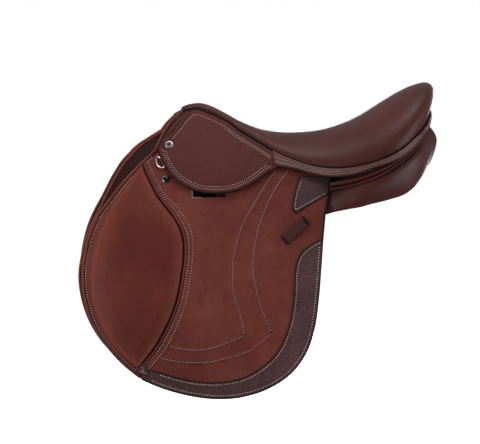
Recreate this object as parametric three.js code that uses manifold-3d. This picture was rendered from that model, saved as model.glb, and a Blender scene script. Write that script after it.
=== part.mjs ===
// A close-contact English jumping saddle, as an assembly of its separate pieces.
// Millimetres, +Z up, +X towards the cantle (the back of the saddle), -Y the rider's left.
// The origin is on the middle plane, at the height of the horse's back under the deepest
// part of the seat. Each left piece is built once, and its right twin is its mirror image.
import * as THREE from "three";
import { mergeVertices } from "three/addons/utils/BufferGeometryUtils.js";
import Module from "manifold-3d";

const wasm = await Module();
wasm.setup();

// ---------------------------------------------------------------- driving dimensions
const CROWN_Z = 143; // height of the head of the tree, where the sides start to slope
const CROWN_HALF = 30; // half width there
const SIDE_SPREAD = 165; // how much wider the sides get towards the ground
const SIDE_DEPTH = 200; // the drop over which they do most of it
const FRONT_TAPER = 22; // how far the flaps close in again, 200 mm ahead of TAPER_X
const TAPER_X = -150;

const FLAP_LEATHER = 4;
const SKIRT_STANDOFF = 4.4; // the padded skirt lies this far off the flap
const SKIRT_LEATHER = 5;
const PAD_LIFT = 13; // thickness of the knee pad sewn on the flap
const TRIM_LIFT = 0.8; // gap kept between pieces that are sewn flat on each other
const TRIM_LEATHER = 1.4;
const SWEAT_DEPTH = 14; // outer face of the sweat flap, inside the flap's outer face
const SWEAT_LEATHER = 3;
const HEAD_ROOM = 14; // the extra room beside the head, where the tree lies in between
const COVER_LEATHER = 2.4;
const FOAM_GAP = 0.4;
const FLAP_FOLD_Z = -28; // the line on which the flap folds up
const FOLD_GAP = 0.6; // half the gap on a fold line
const CHANNEL_HALF = 28; // half the channel between the two panels
const BILLET_WIDTH = 22;
const BILLET_LEATHER = 4;
const BILLET_DEPTH = 7; // outer face of a billet, inside the flap's outer face
const BILLET_X = { front: -130, middle: -86, rear: -42 };
const BILLET_TOP = 26;
const BILLET_BOTTOM = -215;
const BILLET_HOLES = 6;
const BILLET_HOLE = 3.6;

// ---------------------------------------------------------------- materials
const leather = (color) => new THREE.MeshStandardMaterial({ color, roughness: 0.55 });
const metal = (color, roughness) => new THREE.MeshStandardMaterial({ color, roughness, metalness: 1 });
const flapLeather = leather(0x6b352c);
const seatLeather = leather(0x5a3531);
const grainLeather = leather(0x45292b);
const panelLeather = leather(0x4a2a29);
const strapLeather = leather(0x54302a);
const beech = new THREE.MeshStandardMaterial({ color: 0xb08a5c, roughness: 0.7 });
const steel = metal(0x8d9094, 0.4);
const polished = metal(0xd9d9d6, 0.18);
const blackNickel = metal(0x1d1d20, 0.25);
const foam = new THREE.MeshStandardMaterial({ color: 0xd8cfae, roughness: 0.95 });
const webbing = new THREE.MeshStandardMaterial({ color: 0xbdb6a3, roughness: 0.9 });

// ---------------------------------------------------------------- small tools
const V = (x, y, z) => new THREE.Vector3(x, y, z);
const lerp = THREE.MathUtils.lerp;
const clamp = THREE.MathUtils.clamp;
const smooth = THREE.MathUtils.smoothstep;

// A smooth curve through points [x, z] or [x, y, z].
function curveOf(points) {
  const flat = points[0].length === 2;
  const places = points.map((p) => (flat ? V(p[0], 0, p[1]) : V(...p)));
  return new THREE.CatmullRomCurve3(places, false, "catmullrom", 0.5);
}

// The same as a function of 0 to 1, with even steps along its length.
function through(points) {
  const line = curveOf(points);
  return (t) => line.getPointAt(clamp(t, 0, 1));
}

// The same with a step of 1 from each given point to the next.
function byPoint(points) {
  const line = curveOf(points);
  const last = points.length - 1;
  return (t) => line.getPoint(clamp(t / last, 0, 1));
}

// A smooth function of one number through [input, output] pairs.
function table(pairs) {
  const line = byPoint(pairs);
  const last = pairs.length - 1;
  return (x) => {
    if (x <= pairs[0][0]) return pairs[0][1];
    if (x >= pairs[last][0]) return pairs[last][1];
    let low = 0;
    let high = last;
    for (let i = 0; i < 30; i++) {
      const mid = (low + high) / 2;
      if (line(mid).x < x) low = mid;
      else high = mid;
    }
    return line(low).z;
  };
}

// A closed mesh from loose triangles: shared corners merged and collapsed faces dropped.
function closed(triangles) {
  const loose = new THREE.BufferGeometry().setFromPoints(triangles);
  const merged = mergeVertices(loose, 1e-3);
  const old = merged.index.array;
  const kept = [];
  for (let i = 0; i < old.length; i += 3) {
    const [a, b, c] = [old[i], old[i + 1], old[i + 2]];
    if (a !== b && b !== c && a !== c) kept.push(a, b, c);
  }
  merged.setIndex(kept);
  if (volumeOf(merged) < 0) flip(merged);
  return merged;
}

function volumeOf(geometry) {
  const p = geometry.attributes.position;
  const [a, b, c] = [V(), V(), V()];
  let sum = 0;
  for (let i = 0; i < geometry.index.count; i += 3) {
    a.fromBufferAttribute(p, geometry.index.getX(i));
    b.fromBufferAttribute(p, geometry.index.getX(i + 1));
    c.fromBufferAttribute(p, geometry.index.getX(i + 2));
    sum += a.dot(b.cross(c));
  }
  return sum;
}

function flip(geometry) {
  const index = geometry.index.array;
  for (let i = 0; i < index.length; i += 3) {
    [index[i + 1], index[i + 2]] = [index[i + 2], index[i + 1]];
  }
}

function quad(out, a, b, c, d) {
  out.push(a, b, c, a, c, d);
}

// The solid between two surfaces of (u, v), each 0 to 1, closed by walls along its edges.
// With round set, u runs right round and v runs from a middle line out to the rim.
function shell(outer, inner, nu, nv, round = false) {
  const grid = (f) => Array.from({ length: nu + 1 }, (_, i) =>
    Array.from({ length: nv + 1 }, (_, j) => f(i / nu, j / nv)));
  const [p, q] = [grid(outer), grid(inner)];
  const out = [];
  for (let i = 0; i < nu; i++) {
    for (let j = 0; j < nv; j++) {
      quad(out, p[i][j], p[i + 1][j], p[i + 1][j + 1], p[i][j + 1]);
      quad(out, q[i][j], q[i][j + 1], q[i + 1][j + 1], q[i + 1][j]);
    }
    quad(out, p[i][nv], p[i + 1][nv], q[i + 1][nv], q[i][nv]);
    if (!round) quad(out, p[i][0], q[i][0], q[i + 1][0], p[i + 1][0]);
  }
  for (let j = 0; j < nv && !round; j++) {
    quad(out, p[0][j], p[0][j + 1], q[0][j + 1], q[0][j]);
    quad(out, p[nu][j], q[nu][j], q[nu][j + 1], p[nu][j + 1]);
  }
  return closed(out);
}

// A skin over closed loops of points, with both ends filled from their middles.
function loft(loops, ring = false) {
  const out = [];
  const n = loops[0].length;
  const pairs = ring ? loops.length : loops.length - 1;
  for (let i = 0; i < pairs; i++) {
    const [a, b] = [loops[i], loops[(i + 1) % loops.length]];
    for (let j = 0; j < n; j++) {
      const k = (j + 1) % n;
      quad(out, a[j], a[k], b[k], b[j]);
    }
  }
  if (!ring) {
    for (const [loop, back] of [[loops[0], true], [loops.at(-1), false]]) {
      const middle = loop.reduce((sum, p) => sum.add(p), V(0, 0, 0)).divideScalar(n);
      for (let j = 0; j < n; j++) {
        const [a, b] = [loop[j], loop[(j + 1) % n]];
        out.push(middle, back ? b : a, back ? a : b);
      }
    }
  }
  return closed(out);
}

// A strap or rod along points, with a section of [across, out] corners. up(point) gives "out".
function along(points, section, outward, ring = false) {
  const last = points.length - 1;
  const loops = points.map((p, i) => {
    const before = points[ring ? (i + last) % (last + 1) : Math.max(i - 1, 0)];
    const after = points[ring ? (i + 1) % (last + 1) : Math.min(i + 1, last)];
    const ahead = after.clone().sub(before).normalize();
    const out = outward(p).clone();
    out.addScaledVector(ahead, -out.dot(ahead)).normalize();
    const across = out.clone().cross(ahead);
    return section.map(([a, b]) => p.clone().addScaledVector(across, a).addScaledVector(out, b));
  });
  return loft(loops, ring);
}

const circle = (radius, sides) => Array.from({ length: sides }, (_, i) => {
  const angle = (i * 2 * Math.PI) / sides;
  return [radius * Math.cos(angle), radius * Math.sin(angle)];
});
const plank = (width, low, high) => [
  [-width / 2, low], [width / 2, low], [width / 2, high], [-width / 2, high]];

// manifold-3d cuts holes and slots.
function solidOf(geometry) {
  const bare = geometry.clone();
  for (const name of ["normal", "uv"]) bare.deleteAttribute(name);
  const merged = mergeVertices(bare, 1e-4);
  return new wasm.Manifold(new wasm.Mesh({
    numProp: 3, vertProperties: merged.attributes.position.array,
    triVerts: new Uint32Array(merged.index.array) }));
}

function geometryOf(solid) {
  const mesh = solid.getMesh();
  return new THREE.BufferGeometry()
    .setAttribute("position", new THREE.BufferAttribute(mesh.vertProperties, 3))
    .setIndex(new THREE.BufferAttribute(mesh.triVerts, 1));
}

const cut = (geometry, ...tools) =>
  geometryOf(tools.reduce((rest, tool) => rest.subtract(solidOf(tool)), solidOf(geometry)));
const join = (...geometries) =>
  geometryOf(geometries.map(solidOf).reduce((sum, solid) => sum.add(solid)));

function block(x0, x1, y0, y1, z0, z1) {
  const box = new THREE.BoxGeometry(x1 - x0, y1 - y0, z1 - z0);
  return box.translate((x0 + x1) / 2, (y0 + y1) / 2, (z0 + z1) / 2);
}

// A round bar along Y, from y0 to y1.
const barAlongY = (radius, y0, y1, x, z, sides = 12) =>
  new THREE.CylinderGeometry(radius, radius, y1 - y0, sides).translate(x, (y0 + y1) / 2, z);

// A low dome that faces -Y with its base at y = 0, as a lathe.
function dome(radius, height, rings = 4, sides = 16) {
  const profile = [new THREE.Vector2(0, 0), new THREE.Vector2(radius, 0)];
  for (let i = 1; i <= rings; i++) {
    const angle = (i / rings) * (Math.PI / 2);
    const r = i === rings ? 0 : radius * Math.cos(angle);
    profile.push(new THREE.Vector2(r, height * (0.25 + 0.75 * Math.sin(angle))));
  }
  return new THREE.LatheGeometry(profile, sides).rotateX(Math.PI);
}

// ---------------------------------------------------------------- the group
const saddle = new THREE.Group();
saddle.name = "english_saddle";

function add(name, geometry, material, parent = saddle) {
  const mesh = new THREE.Mesh(geometry, material);
  mesh.name = name;
  parent.add(mesh);
  return mesh;
}

function mirrored(geometry) {
  const twin = (geometry.index ? geometry.clone() : mergeVertices(geometry)).scale(1, -1, 1);
  flip(twin);
  return twin;
}

// Adds NAME_left and its mirror image NAME_right. A place turns small parts to lie on the side.
function pair(name, geometry, material, place) {
  for (const [side, sign] of [["left", 1], ["right", -1]]) {
    const own = sign > 0 ? geometry : mirrored(geometry);
    const mesh = add(`${name}_${side}`, own, material);
    if (place) {
      mesh.position.set(place.at.x, sign * place.at.y, place.at.z);
      mesh.rotation.set(sign * place.tilt, sign * (place.spin ?? 0), 0, "XYZ");
    }
  }
}

// ---------------------------------------------------------------- the side of the saddle
// Half width of the flap's outer face at a point of the side view.
function halfWidth(x, z) {
  const ahead = Math.max(0, TAPER_X - x) / 200;
  return CROWN_HALF + SIDE_SPREAD * Math.tanh((CROWN_Z - z) / SIDE_DEPTH) - FRONT_TAPER * ahead ** 2;
}

// Depth of the sweat flap's outer face below the flap's outer face.
const sweatDepth = (x, z) => SWEAT_DEPTH + HEAD_ROOM * smooth(z, -70, -5) * smooth(x, -240, -200);

// A point on the left side, lift millimetres outside the flap's outer face.
const onSide = (p, lift) => V(p.x, -(halfWidth(p.x, p.z) + lift), p.z);

// The direction out of the left side.
function outOf(p) {
  const dx = halfWidth(p.x + 1, p.z) - halfWidth(p.x - 1, p.z);
  const dz = halfWidth(p.x, p.z + 1) - halfWidth(p.x, p.z - 1);
  return V(-dx / 2, -1, -dz / 2).normalize();
}

// The side-view patch between four edge curves: top and bottom run back, front and rear run down.
function patch(top, bottom, front, rear) {
  return (u, v) => {
    const across = top(u).lerp(bottom(u), v);
    const down = front(v).lerp(rear(v), u);
    const corner = top(0).lerp(top(1), u).lerp(bottom(0).lerp(bottom(1), u), v);
    return across.add(down).sub(corner);
  };
}

// A sheet of leather over a side-view patch, between two lifts, each a number or a function
// of (u, v, p).
function sheet(area, low, high, nu, nv) {
  const at = (lift) => (u, v) => {
    const p = area(u, v);
    return onSide(p, typeof lift === "function" ? lift(u, v, p) : lift);
  };
  return shell(at(high), at(low), nu, nv);
}

// Where a small part lies on the side, and its tilt about X.
function placeOn(x, z, lift) {
  const slope = (halfWidth(x, z - 1) - halfWidth(x, z + 1)) / 2;
  const tilt = -Math.atan(slope);
  const at = V(x, -halfWidth(x, z), z);
  at.addScaledVector(V(0, -Math.cos(tilt), -Math.sin(tilt)), lift);
  return { at, tilt };
}

const straight = (a, b) => (t) => V(lerp(a[0], b[0], t), 0, lerp(a[1], b[1], t));

// A curve held at or below a height, or at or above it.
const notAbove = (curve, z) => (t) => {
  const p = curve(t);
  return p.setZ(Math.min(p.z, z));
};
const notBelow = (curve, z) => (t) => {
  const p = curve(t);
  return p.setZ(Math.max(p.z, z));
};

// ---------------------------------------------------------------- outlines
// The seam where the seat's leather meets the skirts and the band, from the middle of the
// pommel round the left side to the middle of the cantle: [x, half width, z].
const SEAM = [
  [-190, 0, 137], [-188, 14, 137], [-180, 27, 139], [-160, 37, 140], [-120, 49, 122],
  [-98, 60, 106], [-63, 77, 84], [-33, 90, 66], [2, 103, 52], [32, 113, 46], [64, 124, 45],
  [96, 132, 50], [125, 137, 59], [152, 134, 73], [177, 121, 92], [197, 99, 110],
  [210, 70, 127], [218, 36, 138], [221, 0, 141]];
const SEAM_LAST = SEAM.length - 1;
const WAIST = 6.6; // where the skirt ends and the band begins, in points of the seam
const seam = byPoint(SEAM);

// The top of the seat on the middle plane.
const seatTop = table([[-160, 149], [-140, 143], [-117, 131], [-92, 118], [-59, 105.5],
  [-25, 100], [8, 100], [42, 103.5], [76, 113], [109, 127.5], [143, 148], [177, 170], [200, 184]]);

// The free edge of the flap, from the pommel down the front, along the bottom and up the back.
const FLAP_FRONT = [[-197, 130], [-214, 104], [-233, 76], [-260, 51], [-288, 22], [-310, -5],
  [-328, -28]];
const FLAP_EDGE = [[-328, -28], [-342, -62], [-350, -96], [-352, -131], [-347, -166],
  [-335.5, -198], [-315.5, -229], [-290, -257], [-261, -280.5], [-227, -294.5], [-187, -305.5],
  [-147, -311], [-107, -309], [-66, -297], [-29.5, -274], [-4.5, -241], [8.5, -203],
  [15.5, -158], [20.5, -111], [25, -68], [30.5, -28]];
const FLAP_HEEL = 8; // the corner at the foot of the knee pad
const FLAP_TOE = 14;
const FLAP_REAR = [[46, 34], [38, 2], [30, -28]];
const FLAP_TOP = [[-197, 130], [-165, 124], [-120, 106], [-63, 68], [-33, 50], [2, 38], [46, 34]];

// The knee pad's two edges, from its point under the pommel to its foot.
const PAD_FRONT = [[-262, 46], [-279, 24], [-303, -6], [-322, -42], [-335, -79], [-341, -116],
  [-339, -153], [-330, -186], [-315, -216], [-293, -242], [-270, -262]];
const PAD_REAR = [[-254, 46], [-246, 24], [-232, -2], [-210, -30], [-198, -56], [-195, -84],
  [-199, -118], [-207, -157], [-221, -193], [-241, -230], [-264, -262]];
const PAD_SPLIT = 3; // the given points next to the fold line

const SKIRT_FRONT = [[-184, 126], [-201, 108], [-218, 92], [-228, 80], [-230, 74]];
const SKIRT_LOBE = [[-230, 74], [-227, 64], [-220, 49], [-211, 35], [-198, 23], [-183, 14],
  [-165, 8], [-146, 6], [-126, 6.5], [-105, 11], [-87, 19], [-71, 29], [-60, 37], [-49, 42]];
const SKIRT_TOP = [[-184, 126], [-172, 132], [-158, 133], [-120, 115], [-98, 99], [-63, 77],
  [-46, 67]];

// The band's lower edge, from the waist to the middle of the cantle: [x, half width, z].
const BAND_LOW = [[-45, 108, 47], [-16, 115, 42], [10, 121, 34], [39, 128, 29], [73, 141, 32],
  [105, 149, 42], [139, 150, 60], [171, 137, 84], [197, 108, 107], [214, 60, 124],
  [219, 28, 130], [221, 0, 132]];

const SWEAT_FRONT = [[-216, 107], [-233, 96], [-260, 78], [-276, 62], [-288, 48], [-304, 22],
  [-319, -8], [-336, -40], [-347, -68], [-355, -102], [-357, -130], [-352, -162], [-340, -195],
  [-321, -225], [-295, -250], [-267, -270]];
const SWEAT_BOTTOM = [[-267, -270], [-232, -286], [-190, -297], [-150, -300], [-110, -295],
  [-72, -281], [-42, -258]];
const SWEAT_REAR = [[2, -4], [2, -50], [-1, -100], [-5, -150], [-11, -195], [-23, -230],
  [-42, -258]];
const SWEAT_TOP = [[-216, 107], [-150, 84], [-90, 52], [-40, 22], [2, -4]];

// ---------------------------------------------------------------- flaps
const foldTop = FLAP_FOLD_Z + FOLD_GAP;
const foldLow = FLAP_FOLD_Z - FOLD_GAP;

const flapArea = patch(
  straight([-328, foldLow], [30, foldLow]),
  through(FLAP_EDGE.slice(FLAP_HEEL, FLAP_TOE + 1)),
  notAbove(through(FLAP_EDGE.slice(0, FLAP_HEEL + 1)), foldLow),
  notAbove(through(FLAP_EDGE.slice(FLAP_TOE).reverse()), foldLow));
const flapTopArea = patch(
  through(FLAP_TOP),
  straight([-328, foldTop], [30, foldTop]),
  notBelow(through(FLAP_FRONT), foldTop),
  notBelow(through(FLAP_REAR), foldTop));

// The recess in the flap over the stirrup bar.
const RECESS = { x0: -179, x1: -113, z0: -2, z1: 64 };

pair("flap", sheet(flapArea, -FLAP_LEATHER, 0, 13, 10), flapLeather);
pair("flap_top",
  cut(sheet(flapTopArea, -FLAP_LEATHER, 0, 14, 6),
    block(RECESS.x0, RECESS.x1, -260, -20, RECESS.z0, RECESS.z1)),
  flapLeather);

// The knee pad, in two lengths that meet on the fold line. It thins to nothing at the fold,
// so that the two lengths clear each other as the flap lifts.
const upperFront = PAD_FRONT.slice(0, PAD_SPLIT);
const upperRear = PAD_REAR.slice(0, PAD_SPLIT);
const lowerFront = PAD_FRONT.slice(PAD_SPLIT);
const lowerRear = PAD_REAR.slice(PAD_SPLIT);
upperFront.push([-316, foldTop + 1]);
upperRear.push([-212, foldTop + 1]);
lowerFront.unshift([-318, foldLow - 1]);
lowerRear.unshift([-211, foldLow - 1]);

function padSheet(front, rear, ends, nv) {
  const [ahead, behind] = [through(front), through(rear)];
  const area = (u, v) => ahead(v).lerp(behind(v), u);
  const lift = (u, v) => 3 + (PAD_LIFT - 3) * Math.sin(Math.PI * u) ** 0.6 * ends(v);
  return sheet(area, TRIM_LIFT, lift, 6, nv);
}
pair("flap_pad",
  padSheet(lowerFront, lowerRear, (v) => smooth(v, -0.05, 0.3) * (1 - smooth(v, 0.8, 1.05)), 11),
  flapLeather);
pair("flap_pad_top",
  padSheet(upperFront, upperRear, (v) => smooth(v, 0, 0.6) * (1 - smooth(v, 0.6, 1.05)), 5),
  flapLeather);

// Grained leather along the back and the bottom edge of the flap.
const GRIP_INSIDE = [[23, -68], [4, -76], [-10, -88], [-18, -104], [-21, -124], [-22, -146],
  [-25, -172], [-31, -200], [-46, -235], [-68, -259], [-102, -279], [-143, -286],
  [-190, -282], [-246, -266]];
const gripInside = through(GRIP_INSIDE);
const gripOutside = through(FLAP_EDGE.slice(FLAP_HEEL, 20).reverse());
const gripArea = (u, v) => gripInside(u).lerp(gripOutside(u), lerp(0.02, 0.98, v));
pair("flap_grip", sheet(gripArea, TRIM_LIFT, TRIM_LIFT + TRIM_LEATHER, 28, 2), grainLeather);

// The grained patch under the band, at the top of the flap's back edge.
const patchArea = patch(straight([-5, 27], [42, 27]), straight([-17, -24], [34, -3]),
  straight([-5, 27], [-17, -24]), straight([42, 27], [34, -3]));
pair("flap_patch", sheet(patchArea, TRIM_LIFT, TRIM_LIFT + TRIM_LEATHER, 3, 3), grainLeather);

// The slanted keeper for the end of the stirrup leather, raised off the flap between its ends.
const keeperArea = patch(straight([-40, -63], [-7, -35]), straight([-29, -70], [3, -42]),
  straight([-40, -63], [-29, -70]), straight([-7, -35], [3, -42]));
const keeperLow = (u) => (u < 0.15 || u > 0.85 ? 0.6 : 3.2);
pair("keeper_loop", sheet(keeperArea, keeperLow, (u) => (u < 0.01 || u > 0.99 ? 2.6 : 5.2), 8, 2),
  strapLeather);

// ---------------------------------------------------------------- skirts
const FOLD_FRONT = [-230, 74];
const FOLD_REAR = [-49, 42];
const skirtLow = (v) => SKIRT_STANDOFF - 1.5 * (1 - v);
const shifted = (by) =>
  straight([FOLD_FRONT[0], FOLD_FRONT[1] + by], [FOLD_REAR[0], FOLD_REAR[1] + by]);

function skirtTopArea() {
  const front = through(SKIRT_FRONT);
  const toFold = (t) => (t < 1 ? front(t) : shifted(FOLD_GAP)(0));
  return patch(through(SKIRT_TOP), shifted(FOLD_GAP), toFold,
    straight(SKIRT_TOP.at(-1), [FOLD_REAR[0], FOLD_REAR[1] + FOLD_GAP]));
}

function skirtLobeArea() {
  const edge = through(SKIRT_LOBE);
  const top = shifted(-FOLD_GAP);
  return (u, v) => {
    const p = edge(u);
    return top(u).lerp(p.setZ(Math.min(p.z, top(u).z)), v);
  };
}
pair("skirt_top",
  sheet(skirtTopArea(), (u, v) => skirtLow(v), (u, v) => skirtLow(v) + SKIRT_LEATHER, 9, 6),
  seatLeather);
pair("skirt", sheet(skirtLobeArea(), skirtLow(1), skirtLow(1) + SKIRT_LEATHER, 14, 4), seatLeather);

// The nail that holds the skirt to the head, and the stud below it on the flap.
pair("skirt_nail", dome(7.6, 2.6), polished, placeOn(-213, 82, 8.4));
pair("point_stud", dome(5.6, 3.0), blackNickel, placeOn(-219, 27, 0.6));

// ---------------------------------------------------------------- seat
// Each line of the seat runs from the middle line out to the seam, as one cubic curve that
// rolls over the edge. The lines fan out at both ends.
const SEAT_FAN_FRONT = -140;
const SEAT_FAN_REAR = 135;
const rimRise = table([[0, 12], [4, 13], [6, 16], [8, 20], [10, 34], [12, 52], [15, 66], [18, 74]]);
const rimRoll = table([[0, 0.5], [3, 2], [6, 4], [8, 4], [10, 5], [12, 8], [15, 24], [18, 34]]);

// around runs 0 to 2 right round the seat: back along the left side, then forward on the right.
function seatPoint(around, out) {
  const half = around <= 1 ? around : 2 - around;
  const mirror = around <= 1 ? -1 : 1;
  const station = half * SEAM_LAST;
  const rim = seam(station);
  const middleX = clamp(rim.x, SEAT_FAN_FRONT, SEAT_FAN_REAR);
  const start = V(middleX, 0, seatTop(middleX));
  const leanX = lerp(middleX, rim.x, 0.58);
  const lean = V(leanX, rim.y * 0.5, seatTop(leanX));
  const away = V(rim.x - middleX, rim.y, 0).normalize();
  const roll = rim.clone().addScaledVector(away, rimRoll(station));
  roll.z += rimRise(station);
  const p = new THREE.CubicBezierCurve3(start, lean, roll, rim).getPoint(out);
  return p.setY(p.y * mirror);
}

// The seat's direction outwards, from its neighbours.
function seatNormal(around, out) {
  const step = 0.004;
  const turn = (t) => (t + 2) % 2;
  const o = clamp(out, 0.03, 1);
  const du = seatPoint(turn(around + step), o).sub(seatPoint(turn(around - step), o));
  const dv = seatPoint(around, Math.min(o + step, 1)).sub(seatPoint(around, o - step));
  return dv.cross(du).normalize();
}

// The seat's surface, sunk by a depth.
function seatLayer(depth) {
  return (u, v) => {
    const around = u * 2;
    if (v === 0) return seatPoint(around, 0).setY(0).add(V(0, 0, -depth));
    const p = seatPoint(around, v).addScaledVector(seatNormal(around, v), -depth);
    return u === 0 || u === 0.5 || u === 1 ? p.setY(0) : p;
  };
}

const SEAT_AROUND = 44;
const FOAM_DEPTH = 10;
const webDepth = FOAM_DEPTH + 0.7;
add("seat_cover", shell(seatLayer(0), seatLayer(COVER_LEATHER), SEAT_AROUND, 8, true), seatLeather);
add("seat_foam",
  shell(seatLayer(COVER_LEATHER + FOAM_GAP), seatLayer(FOAM_DEPTH), SEAT_AROUND, 8, true), foam);

// A strip of the seat's layers over a range of the fan lines and depths.
function seatStrip(place, low, high, nu, nv) {
  const at = (depth) => (u, v) => {
    const [around, out] = place(u, v);
    return seatLayer(depth)(around / 2, out);
  };
  return shell(at(low), at(high), nu, nv);
}

// The laminated tree: one ring of beech under the rim of the seat.
const TREE_INNER = 0.62;
const TREE_OUTER = 0.9;
const TREE_TOP = FOAM_DEPTH + 4.4;
const TREE_THICK = 7;
const treeRing = Array.from({ length: 44 }, (_, i) => {
  const u = i / 44;
  return [[TREE_TOP, TREE_INNER], [TREE_TOP, TREE_OUTER], [TREE_TOP + TREE_THICK, TREE_OUTER],
    [TREE_TOP + TREE_THICK, TREE_INNER]].map(([depth, v]) => seatLayer(depth)(u, v));
});
add("tree_frame", loft(treeRing, true), beech);

// Webs stretched over the tree: a long one on the middle line and two across it.
function webPoint(x, y) {
  return V(x, y, seatTop(x) - 0.0011 * y * y);
}
function web(x0, x1, y0, y1, depth, nu, nv) {
  const at = (sink) => (u, v) => {
    const p = webPoint(lerp(x0, x1, u), lerp(y0, y1, v));
    return p.setZ(p.z - depth - sink);
  };
  return shell(at(0), at(1.4), nu, nv);
}
add("seat_web_long", web(-150, 150, -20, 20, FOAM_DEPTH + 2.5, 12, 4), webbing);
add("seat_web_front", web(-84, -44, -42, 42, FOAM_DEPTH + 5, 3, 8), webbing);
add("seat_web_rear", web(46, 86, -52, 52, FOAM_DEPTH + 5, 3, 8), webbing);

// The welt sewn into the seam all round the seat.
const WELT_R = 1.3;
const weltPath = Array.from({ length: 80 }, (_, i) => {
  const around = (i * 2) / 80;
  const half = around <= 1 ? around : 2 - around;
  const p = seam(half * SEAM_LAST);
  return V(p.x, around <= 1 ? -p.y : p.y, p.z - 2.5);
});
const fromMiddle = (p) => V(p.x > 100 ? p.x - 100 : Math.min(0, p.x + 160), p.y, 0.01).normalize();
add("seat_welt", along(weltPath, circle(WELT_R, 5), fromMiddle, true), grainLeather);

// The band below the seam, from the waist to the back of the cantle.
const BAND_DROP = 6.8;
const bandLow = through(BAND_LOW);
function bandArea(u, v) {
  const high = seam(lerp(WAIST, SEAM_LAST, u));
  high.z -= BAND_DROP;
  const low = bandLow(u);
  if (low.z > high.z - 3) low.z = high.z - 3;
  const p = high.lerp(low, v);
  return V(p.x, u >= 1 ? -0.4 : -Math.max(p.y, 0.4), p.z);
}
function bandOut(u, v) {
  const step = 0.01;
  const du = bandArea(Math.min(u + step, 1), v).sub(bandArea(u - step < 0 ? 0 : u - step, v));
  const dv = bandArea(u, 1).sub(bandArea(u, 0));
  return dv.cross(du).normalize();
}
const bandLayer = (lift) => (u, v) => {
  const p = bandArea(u, v).addScaledVector(bandOut(u, v), lift);
  return u >= 1 ? p.setY(-0.4) : p;
};
pair("seat_band", shell(bandLayer(4), bandLayer(0.4), 24, 2), seatLeather);

// The facing that closes the front of the head, between the two flaps.
const FACING = [[-210, -34, 109], [-205, -26, 116], [-200, -13, 122], [-198, 0, 124],
  [-200, 13, 122], [-205, 26, 116], [-210, 34, 109]];
add("pommel_facing",
  along(FACING.map((p) => V(...p)), plank(15, -1.5, 1.5), () => V(-0.55, 0, 0.83)), seatLeather);

// ---------------------------------------------------------------- tree metalwork
const ARCH_DEPTH = 22.6;
const ARCH_X = -176;
const archSide = [-8, 10, 28, 46, 64, 82, 98].map((z) => {
  const p = onSide(V(ARCH_X, 0, z), -ARCH_DEPTH);
  return p;
});
const archPath = [...archSide, V(ARCH_X, -30, 110), V(ARCH_X, -14, 117), V(ARCH_X, 0, 118.5),
  V(ARCH_X, 14, 117), V(ARCH_X, 30, 110),
  ...archSide.map((p) => p.clone().setY(-p.y)).reverse()];
const archOut = (p) => (Math.abs(p.y) < 1 ? V(0, 0, 1) : V(0, p.y / 60, p.z > 100 ? 1 : 0.4).normalize());
add("head_arch", along(archPath, plank(22, -1.6, 1.6), archOut), steel);

// The stirrup bar: a plate on the arch, an arm out of it, and the bar that runs back to a
// tongue. The catch is a fork on that tongue, and it turns up on its pin.
const BAR = placeOn(-145, 36, 0);
const PIN = { x: 8, z: 0.5 };
const pinHole = barAlongY(1.7, -2, 12, PIN.x, PIN.z, 14);
const plate = block(-34, 32, 13.2, 15.6, 8, 24);
const arm = block(-34, -25, 1.5, 14, -3.5, 23);
const bar = block(-34, 3, 1.5, 6.5, -3.5, 4.5);
const tongue = join(block(2, PIN.x, 2.9, 5.1, -3.5, 4.5), barAlongY(4, 2.9, 5.1, PIN.x, PIN.z, 16));
pair("stirrup_bar", cut(join(plate, arm, bar, tongue), pinHole), steel, BAR);

const catchBody = join(block(PIN.x, 27, 1.5, 6.5, -2.7, 3.7),
  barAlongY(3.9, 1.5, 6.5, PIN.x, PIN.z, 16));
pair("stirrup_catch", cut(catchBody, barAlongY(4.7, 2.5, 5.5, PIN.x, PIN.z, 18), pinHole), steel, BAR);
pair("catch_pin",
  join(barAlongY(1.62, 1.0, 7.4, PIN.x, PIN.z, 14), barAlongY(2.6, 0.4, 1.2, PIN.x, PIN.z, 14)),
  steel, BAR);

// ---------------------------------------------------------------- dee ring and its chape
const DEE = { x: -225, z: 54, lift: 3.5, wire: 1.4, half: 11, reach: 13 };
const deeAt = onSide(V(DEE.x, 0, DEE.z), DEE.lift);
const deeOut = outOf(deeAt);
const deeBar = onSide(V(DEE.x + 4.5, 0, DEE.z - 9), 0).sub(onSide(V(DEE.x - 4.5, 0, DEE.z + 9), 0));
deeBar.addScaledVector(deeOut, -deeBar.dot(deeOut)).normalize();
const deeAhead = deeBar.clone().cross(deeOut);
if (deeAhead.x > 0) deeAhead.negate();
const deePoint = (a, b) =>
  deeAt.clone().addScaledVector(deeBar, a).addScaledVector(deeAhead, b);
const deePath = [-0.8, -0.4, 0, 0.4, 0.8].map((k) => deePoint(k * DEE.half, 0));
for (let i = 0; i <= 10; i++) {
  const angle = (i / 10) * Math.PI;
  deePath.push(deePoint(
    (DEE.half + 1.2) * Math.cos(angle) * (i % 10 === 0 ? 0.96 : 1),
    1.2 + (DEE.reach - 1.2) * Math.sin(angle)));
}
pair("dee_ring", along(deePath, circle(DEE.wire, 8), () => deeOut, true), polished);

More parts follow.
